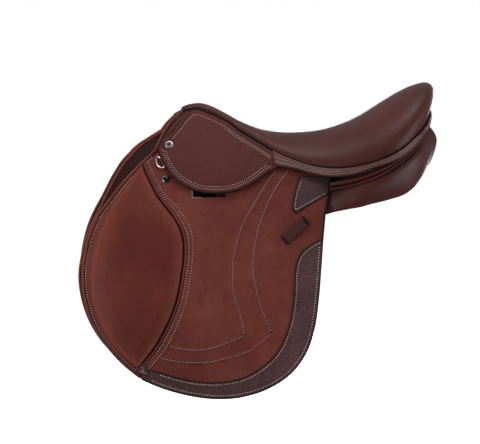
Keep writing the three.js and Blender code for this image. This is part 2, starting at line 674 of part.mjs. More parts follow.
const chapeShape = new THREE.Shape();
chapeShape.absarc(0, 0, 2.4, Math.PI * 0.45, Math.PI * 1.5);
chapeShape.lineTo(18, -2.4);
chapeShape.lineTo(18, -0.5);
chapeShape.lineTo(2.9, -0.5);
const chapeHole = new THREE.Path();
chapeHole.absarc(0, 0, 1.75, 0, Math.PI * 2, true);
chapeShape.holes.push(chapeHole);
const chape = new THREE.ExtrudeGeometry(chapeShape, { depth: 14, bevelEnabled: false, curveSegments: 10 });
chape.translate(0, 0, -7);
const chapeAcross = deeAhead.clone().negate().cross(deeOut);
chape.applyMatrix4(new THREE.Matrix4().makeBasis(deeAhead.clone().negate(), deeOut, chapeAcross)
  .setPosition(deeAt));
for (const name of ["normal", "uv"]) chape.deleteAttribute(name);
pair("dee_chape", mergeVertices(chape, 1e-3), strapLeather);

// ---------------------------------------------------------------- sweat flaps and billets
const sweatArea = patch(through(SWEAT_TOP), through(SWEAT_BOTTOM), through(SWEAT_FRONT),
  through(SWEAT_REAR));
pair("sweat_flap",
  sheet(sweatArea, (u, v, p) => -sweatDepth(p.x, p.z) - SWEAT_LEATHER,
    (u, v, p) => -sweatDepth(p.x, p.z), 12, 12),
  panelLeather);

const blockFront = through([[-316, -42], [-332, -80], [-339, -118], [-337, -152], [-325, -188]]);
const blockRear = through([[-284, -44], [-296, -80], [-302, -118], [-301, -150], [-298, -178]]);
pair("knee_block",
  sheet((u, v) => blockFront(v).lerp(blockRear(v), u), -SWEAT_DEPTH + 1,
    (u, v) => -SWEAT_DEPTH + 3.5 + 4.5 * Math.sin(Math.PI * u) * Math.sin(Math.PI * v), 4, 6),
  panelLeather);

function billetArea(x) {
  return (u, v) => {
    const z = lerp(BILLET_TOP, BILLET_BOTTOM, v);
    const width = v < 0.999 ? BILLET_WIDTH : BILLET_WIDTH * 0.45;
    return V(x + (u - 0.5) * width, 0, z);
  };
}
function billet(x) {
  const strap = sheet(billetArea(x), -BILLET_DEPTH - BILLET_LEATHER, -BILLET_DEPTH, 2, 10);
  const punches = Array.from({ length: BILLET_HOLES }, (_, i) =>
    barAlongY(BILLET_HOLE / 2, -220, -80, x, BILLET_BOTTOM + 30 + i * 25, 6));
  return cut(strap, ...punches);
}
for (const [place, x] of Object.entries(BILLET_X)) pair(`billet_${place}`, billet(x), strapLeather);

// ---------------------------------------------------------------- panels
// Each panel is a cushion between an upper skin under the tree and a lower skin on the horse.
// Every skin runs over five rails from the channel out to the free edge, and every rail runs
// back over the same stations: [x, half width, z]. under() gives a point just inside the
// sweat flap, sunk further in by its third number.
const under = (x, z, sink = 0) => [x, halfWidth(x, z) - sweatDepth(x, z) - SWEAT_LEATHER - 1.6 - sink, z];
const UPPER = [
  [under(-218, 97, 2), [-182, 33, 92], [-120, 32, 74], [-50, 31, 50], [30, 30, 40],
    [100, 30, 44], [168, 30, 70], [200, 30, 100]],
  [under(-253, 70), under(-190, 68), [-120, 57, 60], [-50, 62, 43], [30, 62, 36],
    [100, 64, 41], [167, 60, 72], [205, 42, 110]],
  [under(-291, 30), under(-200, 28), under(-125, 26), under(-50, 14), [34, 98, 26],
    [98, 106, 37], [165, 98, 72], [209, 55, 114]],
  [under(-322, -20), under(-208, -22), under(-130, -20), under(-50, -16), [34, 120, 4],
    [94, 144, 24], [173, 134, 66], [214, 66, 112]],
  [under(-338, -72), under(-212, -80), under(-130, -74), under(-50, -50), [34, 137, -26],
    [102, 154, 4], [183, 131, 42], [228, 63, 88]]];
const LOWER = [
  [under(-218, 93, 10), [-182, 28, 76], [-120, 28, 48], [-50, 28, 16], [30, 28, 2],
    [100, 28, 8], [166, 28, 38], [200, 28, 70]],
  [under(-252, 67, 10), under(-188, 60, 22), [-120, 46, 34], [-50, 56, 8], [30, 60, -3],
    [100, 62, 4], [166, 56, 32], [206, 38, 64]],
  [under(-289, 27, 9), under(-198, 20, 24), under(-125, 12, 26), [-50, 76, -8], [32, 90, -11],
    [100, 92, -3], [165, 86, 24], [213, 49, 59]],
  [under(-320, -24, 8), under(-206, -28, 17), under(-130, -28, 19), [-50, 102, -24],
    [32, 114, -20], [100, 120, -10], [163, 111, 14], [218, 57, 55]],
  [under(-336, -75, 5), under(-210, -83, 7), under(-130, -77, 8), under(-50, -54, 10),
    [32, 131, -31], [100, 143, -16], [168, 127, 8], [223, 63, 55]]];

function skinOver(rails, sink) {
  const lines = rails.map(byPoint);
  const last = rails[0].length - 1;
  return (u, v) => {
    const across = new THREE.CatmullRomCurve3(lines.map((line) => line(u * last)), false,
      "catmullrom", 0.5);
    const p = across.getPoint(v);
    const room = p.x < 26 ? halfWidth(p.x, p.z) - sweatDepth(p.x, p.z) - SWEAT_LEATHER : 999;
    return p.setY(-Math.min(p.y, room - sink));
  };
}
pair("panel", shell(skinOver(UPPER, 2.4), skinOver(LOWER, 7), 22, 9), panelLeather);

export default saddle;
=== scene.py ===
"""The looks of a close-contact English jumping saddle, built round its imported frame.

Lengths are written in millimetres and scaled to metres where a mesh is made. +X runs back to
the cantle, -Y is the rider's left, +Z is up. Each builder makes the left or middle pieces, and
settle() gives every left piece its right-hand twin.
"""
import math

import bmesh
import bpy
import numpy as np
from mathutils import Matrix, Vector, noise


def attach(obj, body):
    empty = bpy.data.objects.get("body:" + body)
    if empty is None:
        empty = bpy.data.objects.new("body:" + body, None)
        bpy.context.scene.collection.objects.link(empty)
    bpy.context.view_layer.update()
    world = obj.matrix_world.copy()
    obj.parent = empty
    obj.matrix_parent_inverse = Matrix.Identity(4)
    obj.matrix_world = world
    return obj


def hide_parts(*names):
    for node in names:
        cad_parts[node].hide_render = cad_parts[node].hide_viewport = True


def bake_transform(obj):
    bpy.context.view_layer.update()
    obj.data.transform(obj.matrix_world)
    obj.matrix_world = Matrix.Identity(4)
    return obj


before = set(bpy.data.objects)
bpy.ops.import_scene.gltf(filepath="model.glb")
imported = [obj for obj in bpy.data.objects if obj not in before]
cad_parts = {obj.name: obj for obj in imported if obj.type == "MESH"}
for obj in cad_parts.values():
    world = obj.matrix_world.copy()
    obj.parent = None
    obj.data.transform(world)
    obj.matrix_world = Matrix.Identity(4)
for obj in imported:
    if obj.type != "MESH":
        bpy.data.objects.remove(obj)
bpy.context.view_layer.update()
MM = 0.001
ROOT = "saddle"
CLOTH_PRESSURE = 4.0
CLOTH_FRAMES = 20

# ------------------------------------------------------------------ the side of the saddle
CROWN_Z, CROWN_HALF = 143, 30
SIDE_SPREAD, SIDE_DEPTH = 165, 200
FRONT_TAPER, TAPER_X = 22, -150
SWEAT_DEPTH, HEAD_ROOM, SWEAT_LEATHER = 14, 14, 3
FLAP_THICK = 4.0


def half_width(x, z):
    """Half width of the flap's outer face at a point of the side view."""
    ahead = np.maximum(0, TAPER_X - x) / 200
    return CROWN_HALF + SIDE_SPREAD * np.tanh((CROWN_Z - z) / SIDE_DEPTH) - FRONT_TAPER * ahead ** 2


def smooth(x, a, b):
    """0 at a and 1 at b, with a smooth step between them."""
    t = np.clip((x - a) / (b - a), 0, 1)
    return t * t * (3 - 2 * t)


def sweat_depth(x, z):
    """How far the sweat flap's outer face lies inside the flap's outer face."""
    return SWEAT_DEPTH + HEAD_ROOM * smooth(z, -70, -5) * smooth(x, -240, -200)


def on_side(p, lift):
    """Points [x, z] on the left side, lift outside the flap's outer face, as [x, y, z]."""
    x, z = p[..., 0], p[..., 1]
    return np.stack([x, -(half_width(x, z) + lift), z], -1)


# ------------------------------------------------------------------ curves and grids
def spline(points, t, closed=False):
    """A Catmull-Rom curve with a step of 1 from each point to the next."""
    p = np.asarray(points, float)
    t = np.asarray(t, float)
    n = len(p)
    if closed:
        i = np.floor(t).astype(int)
        a, b, c, d = (p[(i + k) % n] for k in (-1, 0, 1, 2))
    else:
        p = np.concatenate([[2 * p[0] - p[1]], p, [2 * p[-1] - p[-2]]])
        i = np.clip(np.floor(t).astype(int), 0, n - 2)
        a, b, c, d = (p[i + k] for k in (0, 1, 2, 3))
    f = (t - i).reshape(-1, *[1] * (p.ndim - 1))
    return 0.5 * (2 * b + (c - a) * f + (2 * a - 5 * b + 4 * c - d) * f ** 2
                  + (3 * b - a - 3 * c + d) * f ** 3)


def evenly(points, count, closed=False, a=0.0, b=1.0):
    """count points at even steps along the curve through points, from share a to share b."""
    n = len(points) if closed else len(points) - 1
    fine = spline(points, np.linspace(0, n, 60 * n + 1), closed)
    run = np.concatenate([[0], np.cumsum(np.linalg.norm(np.diff(fine, axis=0), axis=1))])
    want = np.linspace(a, b, count) * run[-1]
    return np.stack([np.interp(want, run, fine[:, k]) for k in range(fine.shape[1])], -1)


def coons(top, bottom, front, rear, us, vs):
    """The grid between four edges. top and bottom run back, front and rear run down."""
    many = 400
    s = np.linspace(0, 1, many)
    at = lambda edge, t: np.stack([np.interp(t, s, e) for e in evenly(edge, many).T], -1)
    t, b, f, r = at(top, us), at(bottom, us), at(front, vs), at(rear, vs)
    u, v = us[:, None, None], vs[None, :, None]
    ends = (1 - u) * ((1 - v) * t[0] + v * b[0]) + u * ((1 - v) * t[-1] + v * b[-1])
    return (1 - v) * t[:, None] + v * b[:, None] + (1 - u) * f[None] + u * r[None] - ends


def spread(n, ends=0.55):
    """n + 1 numbers from 0 to 1, closer together at both ends."""
    s = np.linspace(0, 1, n + 1)
    return (1 - ends) * s + ends * (0.5 - 0.5 * np.cos(math.pi * s))


def distance(p, line, closed=False):
    """How far points lie from a polyline, in the same number of dimensions."""
    q = np.asarray(line, float)
    if closed:
        q = np.vstack([q, q[:1]])
    flat = p.reshape(-1, q.shape[1])
    best = np.full(len(flat), 1e9)
    for a, b in zip(q[:-1], q[1:]):
        d = b - a
        t = np.clip(((flat - a) @ d) / max(d @ d, 1e-9), 0, 1)
        best = np.minimum(best, np.linalg.norm(flat - a - t[:, None] * d, axis=1))
    return best.reshape(p.shape[:-1])


def to_rim(grid, every=2):
    """How far each point of a grid lies from the grid's own edge, which is taken at every few points."""
    rim = np.concatenate([grid[:, 0], grid[-1, 1:], grid[-2::-1, -1], grid[0, -2:0:-1]])
    return distance(grid, rim[::every], closed=True)


def rounding(d, r):
    """How far a face drops at distance d from an edge that is rounded to radius r."""
    k = np.clip(1 - d / r, 0, 1)
    return r * (1 - np.sqrt(1 - k ** 2))


# ------------------------------------------------------------------ meshes
def make(name, verts, faces, material, edge=None):
    """A smooth mesh object from millimetre points.

    edge is the wear_and_painted_light value at each point: burnished edges, painted shade in grooves,
    and on the knee pad a painted highlight. For a sheet it is given for one face and used for both.
    """
    v = np.asarray(verts, float).reshape(-1, 3) * MM
    mesh = bpy.data.meshes.new(name)
    mesh.from_pydata(v.tolist(), [], [tuple(int(i) for i in f) for f in faces])
    mesh.polygons.foreach_set("use_smooth", [True] * len(mesh.polygons))
    if edge is not None:
        wear_and_painted_light = mesh.attributes.new("wear_and_painted_light", "FLOAT", "POINT")
        wear_and_painted_light.data.foreach_set("value", np.resize(np.asarray(edge, np.float32), len(v)))
    mesh.validate()
    mesh.materials.append(material)
    return linked(name, mesh)


def linked(name, data):
    """A new object in the scene."""
    o = bpy.data.objects.new(name, data)
    bpy.context.scene.collection.objects.link(o)
    return o


def right(name):
    return name.replace("left", "right")


def settle(o, body, slot, *nodes, bend=None, fill=None):
    """Hangs a piece from its body and hides the CAD nodes that it stands for. A left piece gets its
    right-hand twin, treated the same.

    nodes are the CAD nodes that it stands for. When bend is given, the piece's placement is baked into
    its mesh instead, and it hangs from no body.
    fill is not used.
    """
    if "left" in o.name:
        twin = linked(right(o.name), o.data.copy())
        set_points(twin, points_of(twin) * [1, -1, 1])
        twin.data.flip_normals()
        tell(twin, right(body), [right(n) for n in nodes], bend)
    tell(o, body, nodes, bend)


def tell(o, body, nodes, bend):
    if bend:
        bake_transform(o)
    else:
        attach(o, body)
    if nodes:
        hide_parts(*nodes)


def read_vectors(items, name):
    flat = np.empty(len(items) * 3)
    items.foreach_get(name, flat)
    return flat.reshape(-1, 3)


def points_of(o):
    return read_vectors(o.data.vertices, "co")


def normals_of(o):
    return read_vectors(o.data.vertices, "normal")


def set_points(o, points):
    o.data.vertices.foreach_set("co", np.ascontiguousarray(points).ravel())
    o.data.update()


def merge_close(o, gap_mm):
    bm = bmesh.new()
    bm.from_mesh(o.data)
    bmesh.ops.remove_doubles(bm, verts=bm.verts, dist=gap_mm * MM)
    bmesh.ops.recalc_face_normals(bm, faces=bm.faces)
    bm.to_mesh(o.data)
    bm.free()
    o.data.polygons.foreach_set("use_smooth", [True] * len(o.data.polygons))


def grid_faces(nu, nv, base=0, wrap=False):
    """The four-sided faces of a grid of points numbered from base."""
    out = []
    for i in range(nu if wrap else nu - 1):
        k = (i + 1) % nu
        for j in range(nv - 1):
            a, b = base + i * nv + j, base + k * nv + j
            out.append((a, b, b + 1, a + 1))
    return out


def shell(outer, inner):
    """Vertices and faces of the closed solid between two grids of the same size."""
    nu, nv = outer.shape[:2]
    n = nu * nv
    faces = grid_faces(nu, nv)
    faces += [f[::-1] for f in grid_faces(nu, nv, n)]
    ring = [(i, 0) for i in range(nu)] + [(nu - 1, j) for j in range(1, nv)]
    ring += [(i, nv - 1) for i in range(nu - 2, -1, -1)] + [(0, j) for j in range(nv - 2, 0, -1)]
    ids = [i * nv + j for i, j in ring]
    for a, b in zip(ids, ids[1:] + ids[:1]):
        faces.append((b, a, a + n, b + n))
    return np.concatenate([outer.reshape(-1, 3), inner.reshape(-1, 3)]), faces


def sheet(name, grid, low, high, material, round_edge=2.0, wear_and_painted_light=None):
    """A sheet of leather over a side-view grid, between two lifts, with rounded edges."""
    d = to_rim(grid)
    low = np.broadcast_to(low, d.shape)
    high = np.broadcast_to(high, d.shape)
    r = np.maximum(np.minimum(round_edge, (high - low) * 0.55), 0.05)
    outer = on_side(grid, high - rounding(d, r))
    inner = on_side(grid, low + rounding(d, r * 0.7))
    v, f = shell(outer, inner)
    return make(name, v, f, material, np.exp(-d / 4.0) if wear_and_painted_light is None else wear_and_painted_light)


def tube(name, path, radius, material, sides=10, closed=False, taper=0.0):
    """A round rod along points. taper is the share of an open rod that narrows at each end."""
    p = np.asarray(path, float)
    n = len(p)
    ahead = np.roll(p, -1, 0) - np.roll(p, 1, 0) if closed else np.gradient(p, axis=0)
    ahead /= np.linalg.norm(ahead, axis=1)[:, None]
    nearly_up = [0.02, 0.03, 1.0]
    side = np.cross(ahead, nearly_up)
    side /= np.linalg.norm(side, axis=1)[:, None]
    up = np.cross(side, ahead)
    r = np.full(n, float(radius))
    if not closed and taper:
        s = np.linspace(0, 1, n)
        r = r * np.clip(np.minimum(s, 1 - s) / taper, 0.15, 1) ** 0.5
    a = np.linspace(0, 2 * math.pi, sides, endpoint=False)
    ring = (np.cos(a)[None, :, None] * side[:, None] + np.sin(a)[None, :, None] * up[:, None])
    v = p[:, None] + ring * r[:, None, None]
    faces = []
    for i in range(n if closed else n - 1):
        k = (i + 1) % n
        for j in range(sides):
            m = (j + 1) % sides
            faces.append((i * sides + j, k * sides + j, k * sides + m, i * sides + m)[::-1])
    if not closed:
        faces.append(tuple(range(sides)))
        faces.append(tuple((n - 1) * sides + j for j in range(sides))[::-1])
    return make(name, v, faces, material)


def stitch(name, lines, length=2.5, pitch=4.2, width=1.25, slant=1.1):
    """One piece of slanted thread stitches along lines, each given as (points, outward)."""
    verts, faces = [], []
    shape = [(-0.5, 0.35), (-0.22, 1.0), (0.22, 1.0), (0.5, 0.35)]
    for points, out in lines:
        run = np.concatenate([[0], np.cumsum(np.linalg.norm(np.diff(points, axis=0), axis=1))])
        count = int(run[-1] / pitch)
        at = (np.arange(count) + 0.5) * pitch
        centre = np.stack([np.interp(at, run, points[:, k]) for k in range(3)], -1)
        ahead = np.stack([np.interp(at + 0.8, run, points[:, k]) for k in range(3)], -1) - centre
        normal = np.stack([np.interp(at, run, out[:, k]) for k in range(3)], -1)
        for c, a, n in zip(centre, ahead, normal):
            a = a / max(np.linalg.norm(a), 1e-9)
            n = n / np.linalg.norm(n)
            b = np.cross(n, a)
            a = (a + slant * b) / math.sqrt(1 + slant ** 2)
            b = np.cross(n, a)
            base = len(verts)
            for s, k in shape:
                m = c + a * (s * length)
                w = width * 0.5 * k
                verts += [m + b * w, m + n * w * 0.9, m - b * w, m - n * w * 0.9]
            for i in range(3):
                for j in range(4):
                    k = (j + 1) % 4
                    a0, a1 = base + 4 * i + j, base + 4 * i + k
                    faces.append((a0, a1, a1 + 4, a0 + 4))
            faces.append((base + 3, base + 2, base + 1, base))
            faces.append((base + 12, base + 13, base + 14, base + 15))
    return make(name, verts, faces, THREAD)


def normals_on_side(p):
    """The outward directions of the side at points [x, z]."""
    x, z = p[:, 0], p[:, 1]
    dx = (half_width(x + 1, z) - half_width(x - 1, z)) / 2
    dz = (half_width(x, z + 1) - half_width(x, z - 1)) / 2
    n = np.stack([-dx, -np.ones_like(dx), -dz], -1)
    return n / np.linalg.norm(n, axis=1)[:, None]


def clear_of(line, at, gap):
    """The parts of a row of stitches that keep a gap from the point [x, z]."""
    points, out = line
    near = np.hypot(points[:, 0] - at[0], points[:, 2] - at[1]) < gap
    cuts = np.flatnonzero(np.diff(near.astype(int))) + 1
    parts = zip(np.split(points, cuts), np.split(out, cuts), np.split(near, cuts))
    return [(p, n) for p, n, hidden in parts if not hidden[0]]


def row(points, lift):
    """A line of the side view laid on the side, for stitch()."""
    p = evenly(points, 200)
    high = lift(p) if callable(lift) else lift
    return on_side(p, high), normals_on_side(p)


def offset(points, by, count=60, a=0.0, b=1.0):
    """A curve of the side view moved sideways, to the right of its direction when by is above 0."""
    p = evenly(points, count, a=a, b=b)
    return p + rightward(p) * by


def rightward(p):
    """Unit vectors to the right of a line's direction."""
    g = np.gradient(p, axis=0)
    g /= np.linalg.norm(g, axis=1)[:, None]
    return np.stack([g[:, 1], -g[:, 0]], -1)


# ------------------------------------------------------------------ materials
def srgb(r, g, b):
    f = lambda c: c / 12.92 if c <= 0.04045 else ((c + 0.055) / 1.055) ** 2.4
    return (*(f(c / 255) for c in (r, g, b)), 1.0)


class Nodes:
    """A short way to write a material's node tree."""

    def __init__(self, name):
        self.mat = bpy.data.materials.new(name)
        self.mat.use_nodes = True
        self.tree = self.mat.node_tree
        self.shader = self.tree.nodes["Principled BSDF"]
        self.coord = self.tree.nodes.new("ShaderNodeTexCoord").outputs["Object"]

    def node(self, kind, inputs=None, **settings):
        n = self.tree.nodes.new(kind)
        for key, value in settings.items():
            setattr(n, key, value)
        for key, value in (inputs or {}).items():
            self.feed(n.inputs[key], value)
        return n

    def feed(self, socket, value):
        """Links another node's output to a socket, or sets a plain value on it."""
        if hasattr(value, "links"):
            self.tree.links.new(value, socket)
        else:
            socket.default_value = value

    def noise(self, scale, detail=3, rough=0.5):
        inputs = {"Vector": self.coord, "Scale": scale, "Detail": detail, "Roughness": rough}
        return self.node("ShaderNodeTexNoise", inputs).outputs["Fac"]

    def cells(self, scale):
        inputs = {"Vector": self.coord, "Scale": scale}
        return self.node("ShaderNodeTexVoronoi", inputs, feature="DISTANCE_TO_EDGE").outputs["Distance"]

    def wave(self, scale, distortion=0.0, detail=2.0, **settings):
        inputs = {"Vector": self.coord, "Scale": scale, "Distortion": distortion, "Detail": detail}
        return self.node("ShaderNodeTexWave", inputs, **settings).outputs["Fac"]

    def band(self, value, low, high, to_low=0.0, to_high=1.0, kind="LINEAR"):
        ends = {"From Min": low, "From Max": high, "To Min": to_low, "To Max": to_high}
        n = self.node("ShaderNodeMapRange", {"Value": value, **ends}, interpolation_type=kind)
        return n.outputs[0]

    def math(self, kind, a, b):
        return self.node("ShaderNodeMath", {0: a, 1: b}, operation=kind).outputs[0]

    def mix(self, factor, a, b):
        n = self.node("ShaderNodeMix", data_type="RGBA")
        for socket, value in ((n.inputs[0], factor), (n.inputs[6], a), (n.inputs[7], b)):
            self.feed(socket, value)
        return n.outputs[2]

    def attribute(self, name):
        return self.node("ShaderNodeAttribute", attribute_name=name).outputs["Fac"]

    def bump(self, height, strength, distance_mm, normal=None):
        inputs = {"Height": height, "Strength": strength, "Distance": distance_mm * MM}
        if normal is not None:
            inputs["Normal"] = normal
        return self.node("ShaderNodeBump", inputs).outputs[0]

    def finish(self, color, rough, normal=None, **values):
        for key, value in {"Base Color": color, "Roughness": rough, **values}.items():
            self.feed(self.shader.inputs[key], value)
        if normal is not None:
            self.feed(self.shader.inputs["Normal"], normal)
        return self.mat


def leather(name, base, dark, light, grain=900.0, grain_depth=0.12, rough=(0.5, 0.64),
            edge_and_shade_dark=0.7, mottle=14.0, pores=0.5, spec=0.2, painted_highlight=None):
    """Tanned leather: cloudy dye, pores, creases and burnished edges.

    The wear_and_painted_light attribute is 1 at an edge or in a groove: it darkens burnished edges and
    paints shade into grooves. With painted_highlight, a colour, it falls away slowly and paints a
    highlight just inside the edge.
    """
    m = Nodes(name)
    cloud = m.noise(mottle, 5, 0.62)
    patch = m.noise(mottle * 0.28, 3, 0.5)
    streak = m.noise(mottle * 5, 6, 0.7)
    fine = m.noise(grain * 0.45, 4, 0.6)
    cells = m.cells(grain)
    color = m.mix(m.band(cloud, 0.36, 0.64), base, light)
    color = m.mix(m.band(patch, 0.42, 0.72, 0, 0.5), color, dark)
    color = m.mix(m.band(streak, 0.52, 0.78, 0, 0.45), color, dark)
    color = m.mix(m.band(fine, 0.35, 0.75, 0.0, 0.3), color, dark)
    color = m.mix(m.band(cells, 0.0, 0.12, pores * 0.5, 0.0), color, dark)
    wear_and_painted_light = m.attribute("wear_and_painted_light")
    # A painted highlight just inside the edge, then the burnished dark edge.
    if painted_highlight:
        color = m.mix(m.band(wear_and_painted_light, 0.1, 0.5, 0, 0.55), color, painted_highlight)
        color = m.mix(m.band(wear_and_painted_light, 0.72, 1.0, 0, edge_and_shade_dark), color, dark)
    else:
        # Darkens burnished edges, and paints shade into grooves.
        color = m.mix(m.math("MULTIPLY", wear_and_painted_light, edge_and_shade_dark), color, dark)
    uneven = m.band(cloud, 0.3, 0.7, -0.03, 0.05)
    roughness = m.math("ADD", m.band(fine, 0.3, 0.7, rough[0], rough[1]), uneven)
    low = m.bump(m.noise(55, 3, 0.55), 0.25, 0.5)
    mid = m.bump(m.band(cells, 0, 0.3, kind="SMOOTHSTEP"), 0.55, grain_depth, low)
    top = m.bump(fine, 0.3, grain_depth * 0.8, mid)
    return m.finish(color, roughness, top, **{"Specular IOR Level": spec})


def metal(name, color, rough, scratch=0.05, metallic=1.0):
    m = Nodes(name)
    grime = m.noise(220, 5, 0.6)
    fine = m.noise(2600, 2, 0.5)
    tint = m.mix(m.band(grime, 0.45, 0.8, 0, 0.35), color, tuple(c * 0.55 for c in color[:3]) + (1,))
    uneven = m.band(fine, 0.3, 0.7, 0, 0.03)
    roughness = m.math("ADD", m.band(grime, 0.3, 0.7, rough, rough + 0.12), uneven)
    return m.finish(tint, roughness, m.bump(fine, scratch, 0.05), **{"Metallic": metallic})


FLAP = leather("flap_leather", srgb(113, 52, 44), srgb(56, 22, 20), srgb(132, 68, 57), grain=1500,
               edge_and_shade_dark=0.85, spec=0.12)
# The knee pad's painted_highlight colour lightens it just inside its edges: partly rubbed leather,
# partly a painted highlight on the steep sides that face the side lamps.
PAD = leather("pad_leather", srgb(99, 39, 31), srgb(60, 22, 19), srgb(113, 50, 38), grain=1500,
              edge_and_shade_dark=0.8, spec=0.14, painted_highlight=srgb(126, 64, 52))
SEAT = leather("seat_leather", srgb(87, 41, 36), srgb(46, 20, 18), srgb(100, 50, 43), grain=1300,
               rough=(0.31, 0.45), spec=0.24)
SKIRT = leather("skirt_leather", srgb(88, 40, 36), srgb(46, 19, 18), srgb(98, 48, 42), grain=1300,
                edge_and_shade_dark=0.8, spec=0.14)
GRAIN = leather("grain_leather", srgb(86, 50, 54), srgb(26, 12, 15), srgb(106, 68, 73), grain=420,
                grain_depth=0.9, pores=1.8, spec=0.3)
PANEL = leather("panel_leather", srgb(80, 34, 31), srgb(40, 16, 15), srgb(94, 43, 38), grain=1100,
                rough=(0.31, 0.45), spec=0.28)
STRAP = leather("strap_leather", srgb(72, 32, 30), srgb(36, 14, 14), srgb(84, 41, 36),
                grain=1100, spec=0.28)
# EDGE_AND_SHADE is dark edge leather round the grip and the patch, and painted shade in the crease
# beside the flap's front binding.
EDGE_AND_SHADE = leather("edge_leather_and_painted_shade", srgb(36, 18, 18), srgb(18, 8, 9), srgb(46, 25, 24),
               grain=1100, spec=0.15)
# INK_AND_SHADE is black edge paint on the flap's rim and the welt's piping, and painted shade where it
# stands in the creases, the keeper's slots, the gap behind the seat's rim and under the skirt's edge.
INK_AND_SHADE = leather("edge_paint_and_painted_shade", srgb(24, 15, 17), srgb(12, 7, 9), srgb(34, 23, 25),
              grain=1100, spec=0.15)
CUT = leather("cut_edge", srgb(150, 108, 98), srgb(96, 60, 54), srgb(168, 126, 116),
              grain=1000, spec=0.1)
# SHADED_LINING is much darker than the other leathers: painted shade for the sweat flap and the knee
# block, which sit in shade inside the flap.
SHADED_LINING = leather("lining_leather", srgb(46, 21, 20), srgb(26, 11, 11), srgb(56, 28, 25),
                 grain=1000, spec=0.1)
STEEL = metal("forged_steel", srgb(150, 152, 154), 0.34)
CHROME = metal("polished_steel", srgb(196, 196, 194), 0.16, 0.02)
BLACK = metal("black_nickel", srgb(20, 20, 23), 0.2, 0.02, 0.6)


def thread_material():
    m = Nodes("waxed_thread")
    twist = m.wave(900.0, 1.5)
    color = m.mix(m.band(m.noise(90, 2), 0.3, 0.7), srgb(176, 138, 132), srgb(218, 182, 174))
    return m.finish(color, 0.62, m.bump(twist, 0.5, 0.1), **{"Sheen Weight": 0.2})


def wood_material():
    m = Nodes("laminated_beech")
    rings = m.wave(55.0, 3.5, 3.0, bands_direction="Z")
    flecks = m.noise(700, 3, 0.6)
    color = m.mix(rings, srgb(176, 134, 88), srgb(204, 166, 118))
    color = m.mix(m.band(flecks, 0.55, 0.75, 0, 0.4), color, srgb(120, 84, 52))
    return m.finish(color, m.band(flecks, 0.3, 0.7, 0.45, 0.6), m.bump(rings, 0.2, 0.2))


def web_material():
    m = Nodes("woven_web")
    weave = m.math("MULTIPLY", m.wave(420.0, bands_direction="X"), m.wave(420.0, bands_direction="Y"))
    color = m.mix(weave, srgb(168, 160, 140), srgb(206, 199, 182))
    return m.finish(color, 0.85, m.bump(weave, 0.6, 0.3))


def foam_material():
    m = Nodes("latex_foam")
    cells = m.cells(900.0)
    color = m.mix(m.band(cells, 0, 0.3), srgb(176, 162, 122), srgb(214, 203, 166))
    return m.finish(color, 0.9, m.bump(cells, 0.7, 0.4))


THREAD = thread_material()
WOOD = wood_material()
WEB = web_material()
FOAM = foam_material()

# ------------------------------------------------------------------ outlines, [x, z]
FLAP_TOP = [[-197, 130], [-165, 124], [-120, 106], [-63, 68], [-33, 50], [2, 38], [46, 34]]
FLAP_FRONT = [[-197, 130], [-214, 104], [-233, 76], [-260, 51], [-288, 22], [-310, -5], [-328, -28]]
FLAP_EDGE = [
    [-328, -28], [-342, -62], [-350, -96], [-352, -131], [-347, -166], [-335.5, -198],
    [-315.5, -229], [-290, -257], [-261, -280.5], [-227, -294.5], [-187, -305.5], [-147, -311],
    [-107, -309], [-66, -297], [-29.5, -274], [-4.5, -241], [8.5, -203], [15.5, -158],
    [20.5, -111], [25, -68], [30.5, -28]]
FLAP_REAR = [[46, 34], [38, 2], [30.5, -28]]
HEEL, TOE = 8, 14
PAD_FRONT = [
    [-259, 50], [-275, 30], [-302, -4], [-322, -42], [-335, -79], [-341, -116], [-339, -153],
    [-330, -186], [-315, -216], [-293, -242], [-270, -262]]
PAD_REAR = [
    [-257, 50], [-249, 30], [-234, 0], [-211, -30], [-198, -56], [-195, -84], [-199, -118],
    [-207, -157], [-221, -193], [-241, -230], [-266, -262]]
GRIP_INSIDE = [
    [23, -67], [6, -75], [-9, -87], [-17, -102], [-21, -122], [-22, -146], [-25, -172], [-31, -200],
    [-46, -235], [-68, -259], [-102, -279], [-143, -286], [-190, -282], [-246, -266]]
GRIP_OUTSIDE = FLAP_EDGE[HEEL:20][::-1]
SEAM_INNER = [
    [-45, 40], [-73, 2], [-99, -39], [-110, -67], [-117, -96], [-119, -126], [-117, -150],
    [-110, -174], [-100, -213]]
SEAM_INNER_LOW = [[-100, -213], [-125, -223], [-152, -232], [-179, -235], [-204, -232], [-227, -226]]
SEAM_OUTER = [
    [-24, 40], [-49, 9], [-73, -39], [-81, -66], [-86, -96], [-86, -122], [-75, -169], [-59, -211]]
SEAM_OUTER_LOW = [
    [-59, -211], [-94, -237], [-134, -249], [-161, -254], [-188, -254], [-214, -251], [-240, -245]]
SKIRT_FRONT = [[-186, 128], [-201, 109], [-217, 92], [-228, 80], [-230, 74]]
SKIRT_LOBE = [
    [-230, 74], [-227, 64], [-220, 49], [-211, 35], [-198, 23], [-183, 14], [-165, 8], [-146, 6],
    [-126, 6.5], [-105, 11], [-87, 19], [-71, 29], [-60, 37], [-49, 42], [-44, 44]]
SWEAT_FRONT = [
    [-216, 107], [-233, 96], [-260, 78], [-276, 62], [-288, 48], [-304, 22], [-319, -8],
    [-336, -40], [-347, -68], [-355, -102], [-357, -130], [-352, -162], [-340, -195], [-321, -225],
    [-295, -250], [-267, -270]]
SWEAT_BOTTOM = [
    [-267, -270], [-232, -286], [-190, -297], [-150, -300], [-110, -295], [-72, -281], [-42, -258]]
SWEAT_REAR = [
    [2, -4], [2, -50], [-1, -100], [-5, -150], [-11, -195], [-23, -230], [-42, -258]]
SWEAT_TOP = [[-216, 107], [-150, 84], [-90, 52], [-40, 22], [2, -4]]
